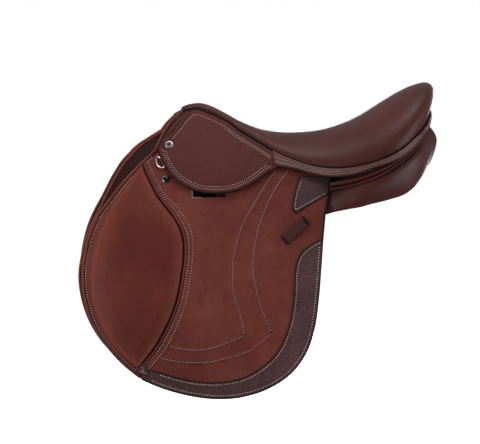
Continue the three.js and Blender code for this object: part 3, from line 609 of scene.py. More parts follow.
# The seam round the seat from the pommel to the cantle, [x, half width, z]. WAIST is the place on it
# where the skirt ends and the band under the seat begins.
SEAM = np.array([
    [-190, 0, 137], [-188, 14, 137], [-180, 27, 139], [-160, 37, 140], [-120, 49, 122],
    [-98, 60, 106], [-63, 77, 84], [-33, 90, 66], [2, 103, 52], [32, 113, 46], [64, 124, 45],
    [96, 132, 50], [125, 137, 59], [152, 134, 73], [177, 121, 92], [197, 99, 110],
    [210, 70, 127], [218, 36, 138], [221, 0, 141]], float)
SEAM_LAST = len(SEAM) - 1
WAIST = 6.6
# The lower edge of the band under the seat, and the piping behind the panel, [x, half width, z].
BAND_LOW = [
    [-45, 109, 46], [-16, 115, 41], [10, 121, 34], [39, 128, 29], [73, 141, 32], [105, 149, 42],
    [139, 150, 60], [171, 137, 84], [197, 108, 107], [214, 60, 124], [219, 28, 130], [221, 0, 132]]
PIPING = [
    [40, 134, 10], [49, 136, 12], [72, 142, 17], [94, 147, 24], [116, 150, 33], [138, 148, 45],
    [158, 141, 58], [175, 130, 71], [190, 115, 85], [202, 97, 101], [211, 77, 114], [217, 56, 124]]
# The seat's top along the middle, [x, z].
SEAT_TOP = [
    [-160, 149], [-140, 143], [-117, 131], [-92, 118], [-59, 105.5], [-25, 100], [8, 100],
    [42, 103.5], [76, 113], [109, 127.5], [143, 148], [177, 170], [200, 184]]

# Where the flaps and the skirts bend when they lift.
FLAP_BEND = ((0, 0, -0.014), (0, 0, -0.042))
FOLD_MIDDLE, FOLD_HALF = np.array([-139.5, 58.0]), 9
FOLD_DOWN = np.array([-0.174, -0.985])
SKIRT_BEND = tuple((x * MM, 0, z * MM) for x, z in (
    FOLD_MIDDLE - FOLD_DOWN * FOLD_HALF, FOLD_MIDDLE + FOLD_DOWN * FOLD_HALF))


# ------------------------------------------------------------------ flaps
FRONT_LINE = np.vstack([evenly(FLAP_FRONT, 60)[:-1], evenly(FLAP_EDGE[:HEEL + 1], 120)])
SLOT_MIDDLE, SLOT_HALF = (-0.1525, -0.11, 0.032), (0.0265, 0.06, 0.033)


def flap_grid():
    rear = np.vstack([evenly(FLAP_REAR, 30)[:-1], evenly(FLAP_EDGE[TOE:][::-1], 90)])
    return coons(FLAP_TOP, FLAP_EDGE[HEEL:TOE + 1], FRONT_LINE, rear, spread(130), spread(150))


def cut_slot(o):
    """Opens the slot over the stirrup bar through the flap."""
    bpy.ops.mesh.primitive_cube_add(location=SLOT_MIDDLE)
    tool = bpy.context.object
    tool.scale = SLOT_HALF
    m = o.modifiers.new("slot", "BOOLEAN")
    m.object = tool
    m.operation = "DIFFERENCE"
    apply_modifiers(o)
    bpy.data.objects.remove(tool)


def apply_modifiers(o):
    """Gives an object the mesh that its modifiers make."""
    bpy.context.view_layer.update()
    evaluated = o.evaluated_get(bpy.context.evaluated_depsgraph_get())
    mesh = bpy.data.meshes.new_from_object(evaluated)
    o.modifiers.clear()
    old = o.data
    o.data = mesh
    bpy.data.meshes.remove(old)


def build_flap():
    """The flap, in one piece from under the skirt to its foot."""
    grid = flap_grid()
    wear_and_painted_light = np.exp(-to_rim(grid) / 2.2)
    o = sheet("flap_left_leather", grid, -FLAP_THICK, 0.0, FLAP, 1.8, wear_and_painted_light)
    cut_slot(o)
    settle(o, "flap_left", "flap_leather", "flap_left", "flap_top_left", bend=FLAP_BEND)


def pad_grid(us):
    """The knee pad's grid between its front and rear edges."""
    vs, s = spread(110, 0.7), np.linspace(0, 1, 120)
    f, r = (np.stack([np.interp(vs, s, e) for e in evenly(line, 120).T], -1)
            for line in (PAD_FRONT, PAD_REAR))
    return f[None] + (r - f)[None] * us[:, None, None]


def swell(o, shrink, most, hold, pinned=None):
    """Lets a left-hand pad settle in a cloth simulation under pressure, then divides its faces.

    Both shrink and the pressure act along the piece's own normals. The panel's point outward, so
    it swells from a slightly smaller start. The knee pad's point inward, so it is drawn in from a
    slightly larger one.

    shrink, and most, how far a point may end from its own place, are in millimetres. hold takes
    the points in millimetres and moves those back that would enter a neighbour. Points whose
    pinned value is true are sewn down and stay where they are.
    """
    before = points_of(o)
    free = np.ones(len(before)) if pinned is None else 1.0 - np.asarray(pinned, float).ravel()
    set_points(o, before - normals_of(o) * free[:, None] * shrink * MM)
    cloth = o.modifiers.new("cloth", "CLOTH")
    if pinned is not None:
        sewn = o.vertex_groups.new(name="sewn")
        sewn.add([int(i) for i in np.flatnonzero(free < 0.5)], 1.0, "REPLACE")
        cloth.settings.vertex_group_mass = "sewn"
    cloth.settings.quality = 4
    cloth.settings.use_pressure = True
    cloth.settings.uniform_pressure_force = CLOTH_PRESSURE
    cloth.settings.effector_weights.gravity = 0
    cloth.point_cache.frame_end = CLOTH_FRAMES
    scene = bpy.context.scene
    for step in range(1, CLOTH_FRAMES + 1):
        scene.frame_set(step)
    swollen = o.evaluated_get(bpy.context.evaluated_depsgraph_get())
    move = read_vectors(swollen.data.vertices, "co") - before
    o.modifiers.clear()
    size = np.linalg.norm(move, axis=1)[:, None]
    move *= np.minimum(1, most * MM / np.maximum(size, 1e-9)) * free[:, None]
    set_points(o, hold((before + move) / MM) * MM)
    scene.frame_set(1)
    finer = o.modifiers.new("finer", "SUBSURF")
    finer.levels = 1
    apply_modifiers(o)
    set_points(o, hold(points_of(o) / MM) * MM)
    o.data.polygons.foreach_set("use_smooth", [True] * len(o.data.polygons))


def lumpy(o, amount, scale):
    """Moves a soft piece's points in and out a little, in soft lumps about scale across."""
    p = points_of(o)
    spots = [Vector((a, abs(b), c)) / (scale * MM) for a, b, c in p]
    rise = np.array([noise.noise(v) + 0.5 * noise.noise(v * 2.7) for v in spots])
    set_points(o, p + normals_of(o) * rise[:, None] * amount * MM)


def lifted(p, least, most):
    """Points of the left side kept between two lifts off the flap's outer face."""
    x, y, z = p.T
    side = half_width(x, z)
    return np.stack([x, -np.clip(-y, side + least, side + most), z], -1)


PAD_HIGHLIGHT_REACH = 8.0
PAD_HEIGHT, PAD_LEAST = 12.5, 2.5
PAD_BORDER = 6.0


def build_pad():
    """The knee pad: flat along its front stitches, high behind, and thin at both ends."""
    us = spread(36, 0.8)
    g = pad_grid(us)
    z = g[..., 1]
    d = to_rim(g)
    tall = np.maximum(PAD_HEIGHT * smooth(z, -268, -190) ** 0.5 * smooth(z, 62, -40), PAD_LEAST)
    reach = np.minimum(26.0, tall * 2.6)
    border = PAD_BORDER * (1 - smooth(us, 0.25, 0.6))[:, None] * smooth(z, -262, -225)
    k = np.clip(1 - np.maximum(d - border, 0) / reach, 0, 1)
    lift = 0.5 + 1.4 * smooth(d, 0, 2.5) + (tall - 1.4) * (1 - k ** 2.3)
    lift = np.where(d < 0.01, 0.35, lift)
    v, f = shell(on_side(g, lift), on_side(g, np.full_like(lift, 0.15)))
    # Its wear_and_painted_light value falls off slowly from the rim, giving the painted highlight inside
    # the edge and the dark edge.
    o = make("knee_pad_left", v, f, PAD, np.exp(-d / PAD_HIGHLIGHT_REACH))
    sewn = np.concatenate([(d < border + 1.5).ravel(), np.ones(d.size, bool)])
    swell(o, 1.5, 1.6, lambda p: lifted(p, 0.15, 14.5), sewn)
    settle(o, "flap_left", "flap_leather", "flap_pad_left", "flap_pad_top_left",
           bend=FLAP_BEND, fill=0.9)


def strip(name, centre, across, profile, groove_shade, material):
    """A low relief laid along a line: profile gives height across it, and groove_shade paints shade into
    its grooves.
    """
    grid = centre[:, None] - rightward(centre)[:, None] * across[..., None]
    v, f = shell(on_side(grid, profile), on_side(grid, np.full_like(profile, -0.3)))
    return make(name, v, f, material, np.concatenate([groove_shade, 0 * groove_shade]))


def bump_at(x, centre, width):
    """1 at centre, falling smoothly to 0 on both sides."""
    return np.exp(-((x - centre) / width) ** 2)


# The two rows of stitches behind the knee pad, at even steps from its top to its foot.
ROW_NEAR = [7.0, 7.2, 9.4, 8.6, 8.6, 8.5, 6.6]
ROW_FAR = [11.0, 11.6, 16.2, 14.8, 15.5, 15.8, 12.4]


def along_pad(widths, count):
    """count values read between widths that are given at even steps."""
    return np.interp(np.linspace(0, len(widths) - 1, count), np.arange(len(widths)), widths)


def beside_pad(widths, count=120):
    """A line behind the knee pad's rear edge, at widths that change from top to bottom."""
    return offset(PAD_REAR, -along_pad(widths, count)[:, None], count)


def build_pad_band():
    """The piping and the flat band with two rows of stitches behind the knee pad."""
    count = 190
    near, far = along_pad(ROW_NEAR, count)[:, None], along_pad(ROW_FAR, count)[:, None]
    x = np.linspace(0, 1, 46)[None] * (far + 5.5) - 0.8
    fall = 1 - smooth(x, far + 1.2, far + 4.2)
    lift = 0.04 + fall * (0.95 * smooth(x, 1.2, 2.4) + 2.0 * bump_at(x, 3.4, 1.5))
    lift -= fall * 0.75 * (bump_at(x, near, 1.0) + bump_at(x, far, 1.0) + 0.9 * bump_at(x, 5.7, 0.7))
    lift = np.maximum(lift, 0.04)
    rows = bump_at(x, near, 1.1) + bump_at(x, far, 1.1)
    # dark is painted shade in the crease beside the pad, in the two sunk stitch rows and in the groove
    # behind the piping.
    dark = bump_at(x, 0.6, 1.3) + 0.9 * (rows + bump_at(x, 5.8, 0.7))
    band = strip("pad_band_left", evenly(PAD_REAR, count), x, lift, np.clip(dark, 0, 1), FLAP)
    settle(band, "flap_left", "flap_leather", bend=FLAP_BEND)


SEAMS = {"inner": SEAM_INNER, "inner_low": SEAM_INNER_LOW,
         "outer": SEAM_OUTER, "outer_low": SEAM_OUTER_LOW}


def build_seams():
    """The sewn lines that decorate the flap: a sunk line between two soft lips."""
    for name, line in SEAMS.items():
        centre = evenly(line, 120)
        x = np.linspace(-4.6, 4.6, 19)[None] + 0 * centre[:, :1]
        lift = 0.04 + 0.6 * bump_at(np.abs(x), 1.9, 1.15) - 0.3 * bump_at(x, 0, 0.7)
        lift = np.maximum(lift * (1 - smooth(np.abs(x), 2.9, 4.5)) + 0.02, 0.02)
        # Painted shade darkens the sunk middle line.
        o = strip("seam_%s_left" % name, centre, x, lift, bump_at(x, 0, 1.2), FLAP)
        settle(o, "flap_left", "flap_leather", bend=FLAP_BEND)


def build_edges():
    """The painted edge round the flap's free rim, and the tab at the foot of the knee pad."""
    rear = np.vstack([evenly(FLAP_REAR, 24)[:-1], evenly(FLAP_EDGE[HEEL:][::-1], 260)])
    line = offset(rear, 0.7, 300)
    paint = tube("flap_edge_left", on_side(line, -1.5), 1.9, INK_AND_SHADE, 10)
    settle(paint, "flap_left", "flap_leather", bend=FLAP_BEND)
    top, low = [[-265, -256], [-253, -256]], [[-270, -270], [-249, -277]]
    grid = coons(top, low, [top[0], low[0]], [top[1], low[1]], spread(12), spread(14))
    tab = sheet("heel_tab_left", grid, 0.7, 2.1, GRAIN, 0.7)
    settle(tab, "flap_left", "grain_leather")
    foot = [[-262.5, -273.2], [-249.5, -279.0]]
    tip = tube("heel_tip_left", on_side(evenly(foot, 20), -0.4), 2.3, FLAP, 10, taper=0.3)
    settle(tip, "flap_left", "flap_leather")


BINDING = 2.6


def build_pad_trim():
    """The crease behind the knee pad, the flap's front binding and the crease beside it. Both creases
    are near-black rods of painted shade.
    """
    groove = tube("pad_crease_left", on_side(evenly(offset(PAD_REAR, -0.2, 90), 160), 0.3), 1.2, INK_AND_SHADE, 8)
    settle(groove, "flap_left", "grain_leather", bend=FLAP_BEND)
    over = np.vstack([[[-189, 137]], FRONT_LINE])
    z = evenly(over, 200)[:, 1:]
    path = offset(over, -1.4 + 5.0 * smooth(z, 66, 96) * (1 - smooth(z, 108, 134)), 200)
    path = on_side(path, -0.6 + 1.8 * smooth(path[:, 1], 66, 100))
    binding = tube("flap_binding_left", path, BINDING, FLAP, 12, taper=0.012)
    settle(binding, "flap_left", "flap_leather", bend=FLAP_BEND)
    crease = tube("front_crease_left", on_side(offset(FRONT_LINE, -4.6, 200, a=0.12), 0.2), 0.9, EDGE_AND_SHADE, 8)
    settle(crease, "flap_left", "grain_leather", bend=FLAP_BEND)


def build_grip():
    """The grained trim on the heel, and the grained patch under the seat band."""
    inside = evenly(GRIP_INSIDE, 160)
    outside = evenly(GRIP_OUTSIDE, 160)
    across = 0.01 + 0.975 * spread(14, 0.7)
    grid = inside[:, None] + (outside - inside)[:, None] * across[None, :, None]
    o = sheet("flap_grip_left_leather", grid, 0.1, 2.0, GRAIN, 1.0)
    settle(o, "flap_left", "grain_leather", "flap_grip_left")
    rim = tube("grip_edge_left", on_side(inside, 0.9), 0.9, EDGE_AND_SHADE, 8)
    settle(rim, "flap_left", "grain_leather")
    top, low = [[-6, 32], [44, 30]], [[-16, -25], [7, -12], [36, 3]]
    grid = coons(top, low, [[-6, 32], [-14, 10], [-19, -8], [-20, -19], [-16, -25]], [[44, 30], [36, 3]],
                 spread(24), spread(24))
    p = sheet("flap_patch_left_leather", grid, 0.1, 2.0, GRAIN, 1.0)
    settle(p, ROOT, "grain_leather", "flap_patch_left")
    line = [[-6, 30], [-14, 10], [-19, -8], [-20, -19], [-15, -25], [7, -12], [36, 3]]
    e = tube("patch_edge_left", on_side(evenly(line, 80), 0.9), 0.9, EDGE_AND_SHADE, 8)
    settle(e, ROOT, "grain_leather")


def build_slot_edge():
    """The cut edge of the slot under the skirt."""
    path = [[-178.6, 12], [-178.6, 2], [-177.6, -1.4], [-171, -1.6], [-162, -1.6]]
    rim = tube("slot_edge_left", on_side(evenly(path, 40), -0.3), 1.0, CUT, 8, taper=0.1)
    settle(rim, ROOT, "flap_leather")


KEEPER_WIDTH = 13.5


def build_keeper():
    """A slanted strap whose two ends go down through slots in the flap."""
    low_end, high_end = np.array([[-34.5, -66.5], [-2.0, -38.5]])
    along = (high_end - low_end) / np.linalg.norm(high_end - low_end)
    across = np.array([along[1], -along[0]])
    u, w = spread(28, 0.3), spread(10, 0.6)
    centre = low_end + (high_end - low_end) * u[:, None]
    grid = centre[:, None] + across * ((w - 0.5) * KEEPER_WIDTH)[None, :, None]
    arch = 3.6 * np.clip(np.sin(math.pi * np.clip(u, 0, 1)), 0, 1) ** 0.35
    high = np.repeat((arch + 0.9)[:, None], 11, 1)
    low = np.repeat(np.maximum(arch - 1.4, 0.1)[:, None], 11, 1)
    d = to_rim(grid, 1)
    v, f = shell(on_side(grid, high - rounding(d, 0.9)), on_side(grid, low))
    o = make("keeper_strap_left", v, f, STRAP, np.exp(-d / 1.6))
    settle(o, "flap_left", "strap_leather", "keeper_loop_left")
    for name, end, sign in (("low", low_end, -1), ("high", high_end, 1)):
        beyond = end + along * sign * 1.2
        cut = evenly([beyond + across * 9.0, beyond - across * 9.0], 12)
        # Each slot is a near-black rod: painted shade in the opening.
        slot = tube("keeper_slot_shade_" + name + "_left", on_side(cut, 0.4), 1.9, INK_AND_SHADE, 8, taper=0.12)
        settle(slot, "flap_left", "grain_leather")


# ------------------------------------------------------------------ skirts
def skirt_top_line():
    """Just under the seat's seam, from the head to the waist."""
    s = np.linspace(1.55, WAIST + 0.05, 40)
    p = spline(SEAM, s)
    return np.stack([p[:, 0], p[:, 2] - 4.2], -1)


def skirt_grid():
    top = skirt_top_line()
    low = np.array(SKIRT_LOBE, float)
    front = np.array([top[0], *SKIRT_FRONT[1:]], float)
    rear = np.array([top[-1], [-44, 44]])
    return coons(top, low, front, rear, spread(90), spread(60))


def skirt_lift(p, high):
    """How far the skirt's faces stand off the flap: it lies flat under the seat and lifts below."""
    top = distance(p, skirt_top_line())
    low = 1.2 + 3.2 * smooth(top, 0, 45)
    return low + (2.8 + 2.2 * smooth(top, 0, 30) if high else 0)


def build_skirt():
    """The skirt, with its raised rolled edge and two sunk rows, and a near-black rod under the lobe's
    rim that paints the shadow the skirt casts on the flap.
    """
    g = skirt_grid()
    d = distance(g, np.vstack([evenly([g[0, 0], *SKIRT_FRONT[1:]], 40), evenly(SKIRT_LOBE, 120)]))
    roll = 1.3 * bump_at(d, 2.6, 1.8) - 0.9 * bump_at(d, 5.8, 1.0)
    roll += 0.3 * bump_at(d, 7.6, 1.0) - 0.7 * bump_at(d, 9.6, 1.2)
    high = skirt_lift(g, True) + roll
    low = skirt_lift(g, False)
    rim = to_rim(g)
    v, f = shell(on_side(g, high - rounding(rim, 3.0)), on_side(g, low + rounding(rim, 1.4)))
    # Burnished dark rim, and painted shade in the two sunk rows.
    wear_and_painted_light = 0.75 * np.exp(-d / 0.9) + 0.7 * bump_at(d, 5.8, 1.0) + 0.5 * bump_at(d, 9.6, 1.2)
    o = make("skirt_left_leather", v, f, SKIRT, np.clip(wear_and_painted_light, 0, 1))
    settle(o, "skirt_left", "seat_leather", "skirt_left", "skirt_top_left", bend=SKIRT_BEND)
    # A near-black rod just under the lobe's edge: painted shadow cast by the skirt onto the flap.
    lobe = offset(SKIRT_LOBE, 0.5, 120, b=0.985)
    path = on_side(lobe, skirt_lift(lobe, False) - 0.4)
    edge = tube("skirt_edge_left", path, 1.5, INK_AND_SHADE, 10, taper=0.03)
    settle(edge, "skirt_left", "grain_leather", bend=SKIRT_BEND)


# ------------------------------------------------------------------ seat
def table(pairs, x):
    """Values read off a smooth curve through [x, value] pairs."""
    p = spline(pairs, np.linspace(0, len(pairs) - 1, 60 * len(pairs)))
    return np.interp(x, p[:, 0], p[:, 1])


# How far the seat's roll stands above and outside its seam, at each point of SEAM.
RIM_RISE = [[0, 9], [4, 12], [6, 16], [8, 20], [10, 34], [12, 52], [15, 66], [18, 74]]
RIM_ROLL = [[0, 0.5], [3, 2], [6, 4], [8, 4], [10, 5], [12, 8], [15, 24], [18, 34]]


def seat_surface(around, out):
    """Points of the seat's top for every pair of around (0 to 2, right round) and out (0 to 1)."""
    half = np.where(around <= 1, around, 2 - around)
    sign = np.where(around <= 1, -1.0, 1.0)
    station = half * SEAM_LAST
    rim = spline(SEAM, station)
    middle = np.clip(rim[:, 0], -140, 135)
    start = np.stack([middle, 0 * middle, table(SEAT_TOP, middle)], -1)
    lean_x = middle + (rim[:, 0] - middle) * 0.58
    lean = np.stack([lean_x, rim[:, 1] * 0.5, table(SEAT_TOP, lean_x)], -1)
    away = np.stack([rim[:, 0] - middle, rim[:, 1], 0 * middle], -1)
    away /= np.maximum(np.linalg.norm(away, axis=1), 1e-9)[:, None]
    roll = rim + away * table(RIM_ROLL, station)[:, None]
    roll[:, 2] += table(RIM_RISE, station)
    t = out[None, :, None]
    p = ((1 - t) ** 3 * start[:, None] + 3 * (1 - t) ** 2 * t * lean[:, None]
         + 3 * (1 - t) * t ** 2 * roll[:, None] + t ** 3 * rim[:, None])
    p[..., 1] *= sign[:, None]
    return p


def grid_normals(g, wrap=False):
    """The outward directions of a 3-D grid. With wrap its first axis runs right round."""
    du = np.roll(g, -1, 0) - np.roll(g, 1, 0) if wrap else np.gradient(g, axis=0)
    dv = np.gradient(g, axis=1)
    n = np.cross(dv, du)
    size = np.linalg.norm(n, axis=-1, keepdims=True)
    return n / np.maximum(size, 1e-9)


def seat_layer(depth, nu, nv):
    """The seat's surface at a depth under its top."""
    g = seat_surface(np.linspace(0, 2, nu, endpoint=False), np.linspace(0, 1, nv + 1) ** 0.9)
    n = grid_normals(g, wrap=True)
    n[:, 0] = [0, 0, 1]
    return g - n * depth


def closed_ring(name, outer, inner, material):
    """The solid between two round grids that start at the middle and end at the rim."""
    nu, nv = outer.shape[:2]
    n = nu * nv
    faces = grid_faces(nu, nv, 0, wrap=True)
    faces += [f[::-1] for f in grid_faces(nu, nv, n, wrap=True)]
    for i in range(nu):
        a, b = i * nv + nv - 1, (i + 1) % nu * nv + nv - 1
        faces.append((a, b, n + b, n + a))
    wear_and_painted_light = np.exp(-20 * np.linspace(1, 0, nv))
    o = make(name, np.concatenate([outer.reshape(-1, 3), inner.reshape(-1, 3)]), faces, material, wear_and_painted_light)
    merge_close(o, 0.02)
    return o


def build_seat():
    """The seat leather, its foam, the welt round it, and a near-black rod behind the rim: painted shade
    in the gap under the welt.
    """
    cover = closed_ring("seat_leather_cover", seat_layer(0, 220, 44), seat_layer(2.4, 220, 44), SEAT)
    settle(cover, ROOT, "seat_leather", "seat_cover", fill=1.0)
    foam = closed_ring("seat_foam_layer", seat_layer(2.9, 110, 20), seat_layer(10, 110, 20), FOAM)
    settle(foam, ROOT, "foam", "seat_foam", fill=1.0)
    around = np.linspace(0, 2, 260, endpoint=False)
    half = np.where(around <= 1, around, 2 - around)
    p = spline(SEAM, half * SEAM_LAST)
    p[:, 1] *= np.where(around <= 1, -1, 1)
    p[:, 2] -= 2.6
    welt = tube("seat_welt_piping", p, 2.1, INK_AND_SHADE, 12, closed=True)
    settle(welt, ROOT, "grain_leather", "seat_welt")
    centre = np.stack([np.clip(p[:, 0], -140, 135), 0 * half, p[:, 2]], -1)
    inward = (centre - p) / np.linalg.norm(centre - p, axis=1)[:, None]
    # Painted shade: a near-black rod fills the gap between the welt and the band.
    lining_painted_shade = tube("seat_rim_lining", p + inward * 5.2 - [0, 0, 0.6], 4.4, INK_AND_SHADE, 10, closed=True)
    settle(lining_painted_shade, ROOT, "grain_leather")


def band_grid(nu=140, nv=14):
    """The leather band between the seat's seam and BAND_LOW, from the waist to the cantle."""
    s = np.linspace(0, 1, nu)
    high = spline(SEAM, WAIST - 0.1 + (SEAM_LAST - WAIST + 0.1) * s)
    high[:, 2] -= 3.4
    low = evenly(BAND_LOW, nu)
    low[:, 2] = np.minimum(low[:, 2], high[:, 2] - 4)
    v = spread(nv - 1, 0.7)[None, :, None]
    g = high[:, None] + (low - high)[:, None] * v
    g[..., 1] *= -1
    g[-1, :, 1] = 0
    return g


def thick(name, g, thickness, material, proud=0.0, round_edge=1.4):
    """A sheet over a 3-D grid, thickened inwards, with its two long edges rounded."""
    n = grid_normals(g)
    run = np.linalg.norm(np.diff(g, axis=1), axis=-1)
    run = np.concatenate([np.zeros((g.shape[0], 1)), np.cumsum(run, axis=1)], axis=1)
    d = np.minimum(run, run[:, -1:] - run)
    drop = rounding(d, min(round_edge, thickness * 0.6))
    v, f = shell(g + n * (proud + thickness - drop)[..., None], g + n * (proud + 0.4 * drop)[..., None])
    return make(name, v, f, material, np.exp(-d / 2.5))


BAND_GRID = band_grid()


def build_band():
    o = thick("seat_band_left_leather", BAND_GRID, 3.4, SEAT, 0.6, 2.0)
    settle(o, ROOT, "seat_leather", "seat_band_left")


def over_head(side, lift, middle, count):
    """A line from the left side, through points [x, half width, z] and over the head to the right."""
    half = np.vstack([on_side(np.array(side, float), lift), np.array(middle) * [1, -1, 1]])
    return evenly(np.vstack([half, half[-2::-1] * [1, -1, 1]]), count)


def build_facing():
    """The leather that closes the front of the head, and the cap of leather over the head."""
    out_edge = [[-235, 78], [-224.5, 93.5], [-211.5, 110], [-200.5, 125]]
    in_edge = [[-226, 79], [-215, 93], [-200, 110], [-186, 128]]
    rows = np.array([
        over_head(in_edge, 1.2, [[-186, 24, 133], [-189, 12, 134.5], [-190, 0, 134.5]], 120),
        over_head(out_edge, -3.0, [[-199, 26, 128], [-200, 13, 129.5], [-200.5, 0, 130]], 120),
        over_head(out_edge, -8.0, [[-201, 22, 119], [-202, 11, 121], [-202, 0, 121.5]], 120)])
    g = spline(rows, np.linspace(0, 2, 15)).transpose(1, 0, 2)
    o = thick("pommel_facing_leather", g, 2.0, STRAP, -1.0, 1.0)
    settle(o, ROOT, "seat_leather", "pommel_facing")
    rows = np.array([over_head([[x, 96], [x, 104], [x, 112], [x, 119]], -6.0,
                               [[x, 24, 127.5], [x, 12, 130], [x, 0, 130.5]], 80)
                     for x in (-152, -166, -178, -190)])
    cap = thick("head_cap_leather", rows.transpose(1, 0, 2), 2.0, STRAP, -1.0, 0.8)
    settle(cap, ROOT, "seat_leather")


# ------------------------------------------------------------------ underneath
def under(x, z, sink=0.0):
    """A point of the panel beside the sweat flap, or sunk under it."""
    return [x, float(half_width(x, z) - sweat_depth(x, z)) - SWEAT_LEATHER - 1.6 - sink, z]


# The panel's outer and inner rails, each from its front to its rear end, as [x, half width, z].
UPPER = [
    [under(-218, 97, 2), [-182, 33, 92], [-120, 32, 74], [-50, 31, 50], [30, 30, 40],
     [100, 30, 44], [168, 30, 70], [200, 30, 100]],
    [under(-253, 70), under(-190, 68), [-120, 57, 60], [-50, 62, 43], [30, 62, 36],
     [100, 64, 41], [167, 60, 72], [205, 42, 110]],
    [under(-291, 30), under(-200, 28), under(-125, 26), under(-50, 14), [34, 98, 26],
     [98, 106, 37], [165, 98, 72], [209, 55, 114]],
    [under(-322, -20), under(-208, -22), under(-130, -20), under(-50, -16), [34, 120, 4],
     [94, 144, 24], [173, 134, 66], [214, 66, 112]],
    [under(-338, -72), under(-212, -80), under(-130, -74), under(-50, -50), [34, 137, -26],
     [102, 154, 4], [183, 131, 42], [228, 63, 88]]]
LOWER = [
    [under(-218, 93, 10), [-182, 28, 76], [-120, 28, 48], [-50, 28, 16], [30, 28, 2],
     [100, 28, 8], [166, 28, 38], [200, 28, 70]],
    [under(-252, 67, 10), under(-188, 60, 22), [-120, 46, 34], [-50, 56, 8], [30, 60, -3],
     [100, 62, 4], [166, 56, 32], [206, 38, 64]],
    [under(-289, 27, 9), under(-198, 20, 24), under(-125, 12, 26), [-50, 76, -8], [32, 90, -11],
     [100, 92, -3], [165, 86, 24], [213, 49, 59]],
    [under(-320, -24, 8), under(-206, -28, 17), under(-130, -28, 19), [-50, 102, -24],
     [32, 114, -20], [100, 120, -10], [163, 111, 14], [213, 57, 50]],
    [under(-336, -75, 5), under(-210, -83, 7), under(-130, -77, 8), under(-50, -54, 10),
     [32, 131, -31], [100, 143, -16], [171, 125, 7], [217, 66, 50]]]


def beside_panel(p, channel=26.5):
    """Keeps points of the left panel out of the channel and off the sweat flap."""
    x, y, z = np.moveaxis(p, -1, 0)
    room = half_width(x, z) - sweat_depth(x, z) - SWEAT_LEATHER - 1.2
    out = np.where(x < 26, np.minimum(-y, room), -y)
    return np.stack([x, -np.maximum(out, channel), z], -1)


def panel_loops(nu=150, nv=56):
    """Closed sections of the panel, from its front edge to its rear end."""
    rails = np.stack([spline(r, np.linspace(0, 7, nu)) for r in UPPER + LOWER[::-1]], 1)
    t = np.linspace(0, 10, nv, endpoint=False)
    loops = np.stack([spline(section, t, closed=True) for section in rails])
    return beside_panel(loops * [1, -1, 1], 27)


def rounded_end(loop, nxt, bulge, steps=5):
    """Loops that close the end of a cushion, from its last loop outwards."""
    middle = loop.mean(0)
    ahead = middle - nxt.mean(0)
    ahead /= np.linalg.norm(ahead)
    turns = np.arange(1, steps + 1) / steps * math.pi / 2 * 0.96
    return [middle + (loop - middle) * math.cos(a) + ahead * bulge * math.sin(a) for a in turns]


def capped(name, loops, material, bulge=5.0):
    """A closed skin over loops, with both ends rounded off."""
    first = rounded_end(loops[0], loops[1], bulge)[::-1]
    every = np.array([*first, *loops, *rounded_end(loops[-1], loops[-2], bulge)])
    n, m = every.shape[:2]
    faces = []
    for i in range(n - 1):
        for j in range(m):
            k = (j + 1) % m
            faces.append((i * m + j, (i + 1) * m + j, (i + 1) * m + k, i * m + k))
    faces.append(tuple(range(m)))
    faces.append(tuple((n - 1) * m + j for j in range(m))[::-1])
    o = make(name, every, faces, material)
    merge_close(o, 0.005)
    return o


def build_panel():
    """The stuffed panel, and the piping, the roll and the facing along its rear edge."""
    o = capped("panel_cushion_left", panel_loops(), PANEL)
    swell(o, 2.2, 2.2, beside_panel)
    lumpy(o, 0.8, 50)
    settle(o, ROOT, "panel_leather", "panel_left", fill=0.85)
    pipe = evenly(PIPING, 120) * [1, -1, 1]
    low = tube("panel_piping_left", pipe, 1.6, STRAP, 10)
    settle(low, ROOT, "panel_leather")
    up = pipe + [0, 3.2, 7.6]
    up[:, 2] -= 4.0 * np.linspace(0, 1, len(up))
    roll = tube("panel_roll_left", up, 3.0, SKIRT, 12)
    settle(roll, ROOT, "seat_leather")
    back = np.stack([up + [0, 3, 4.5], up + [0, 4.5, -1], pipe + [0, 9.0, 3.6], pipe + [0, 6, -3]])
    g = spline(back, np.linspace(0, 3, 12)).transpose(1, 0, 2)
    face = thick("panel_facing_left", g, 1.2, EDGE_AND_SHADE, -0.6, 0.5)
    settle(face, ROOT, "panel_leather")


def build_sweat_flap():
    """The sweat flap, its front binding, and the knee block on it."""
    g = coons(SWEAT_TOP, SWEAT_BOTTOM, SWEAT_FRONT, SWEAT_REAR, spread(90), spread(110))
    depth = sweat_depth(g[..., 0], g[..., 1])
    o = sheet("sweat_flap_left_leather", g, -depth - SWEAT_LEATHER, -depth, SHADED_LINING, 1.4)
    settle(o, ROOT, "panel_leather", "sweat_flap_left")
    line = offset(SWEAT_FRONT, -1.2, 150)
    depth = sweat_depth(line[:, 0], line[:, 1])
    b = tube("sweat_binding_left", on_side(line, -depth - 1.2), BINDING, FLAP, 12, taper=0.016)
    settle(b, ROOT, "flap_leather")
    front = evenly([[-316, -42], [-332, -80], [-339, -118], [-337, -152], [-325, -188]], 60)
    rear = evenly([[-284, -44], [-296, -80], [-302, -118], [-301, -150], [-298, -178]], 60)
    g = front[None] + (rear - front)[None] * spread(20, 0.8)[:, None, None]
    d = to_rim(g, 1)
    high = -SWEAT_DEPTH + 1.2 + 7.4 * (1 - np.clip(1 - d / 12, 0, 1) ** 2.2)
    v, f = shell(on_side(g, high), on_side(g, np.full_like(high, -SWEAT_DEPTH + 0.6)))
    block = make("knee_block_left_cushion", v, f, SHADED_LINING, np.exp(-d / 3))
    settle(block, ROOT, "panel_leather", "knee_block_left", fill=0.9)


# Girth straps: where each hangs, and the sizes that they share.
BILLET = {"front": -130, "middle": -86, "rear": -42}
STRAP_TOP, STRAP_END, STRAP_WIDTH, STRAP_IN, STRAP_OUT = 26, -215, 22, -11.8, -7.8
HOLES, HOLE_START, HOLE_PITCH, HOLE_RADIUS = 6, 30, 25, 2.3


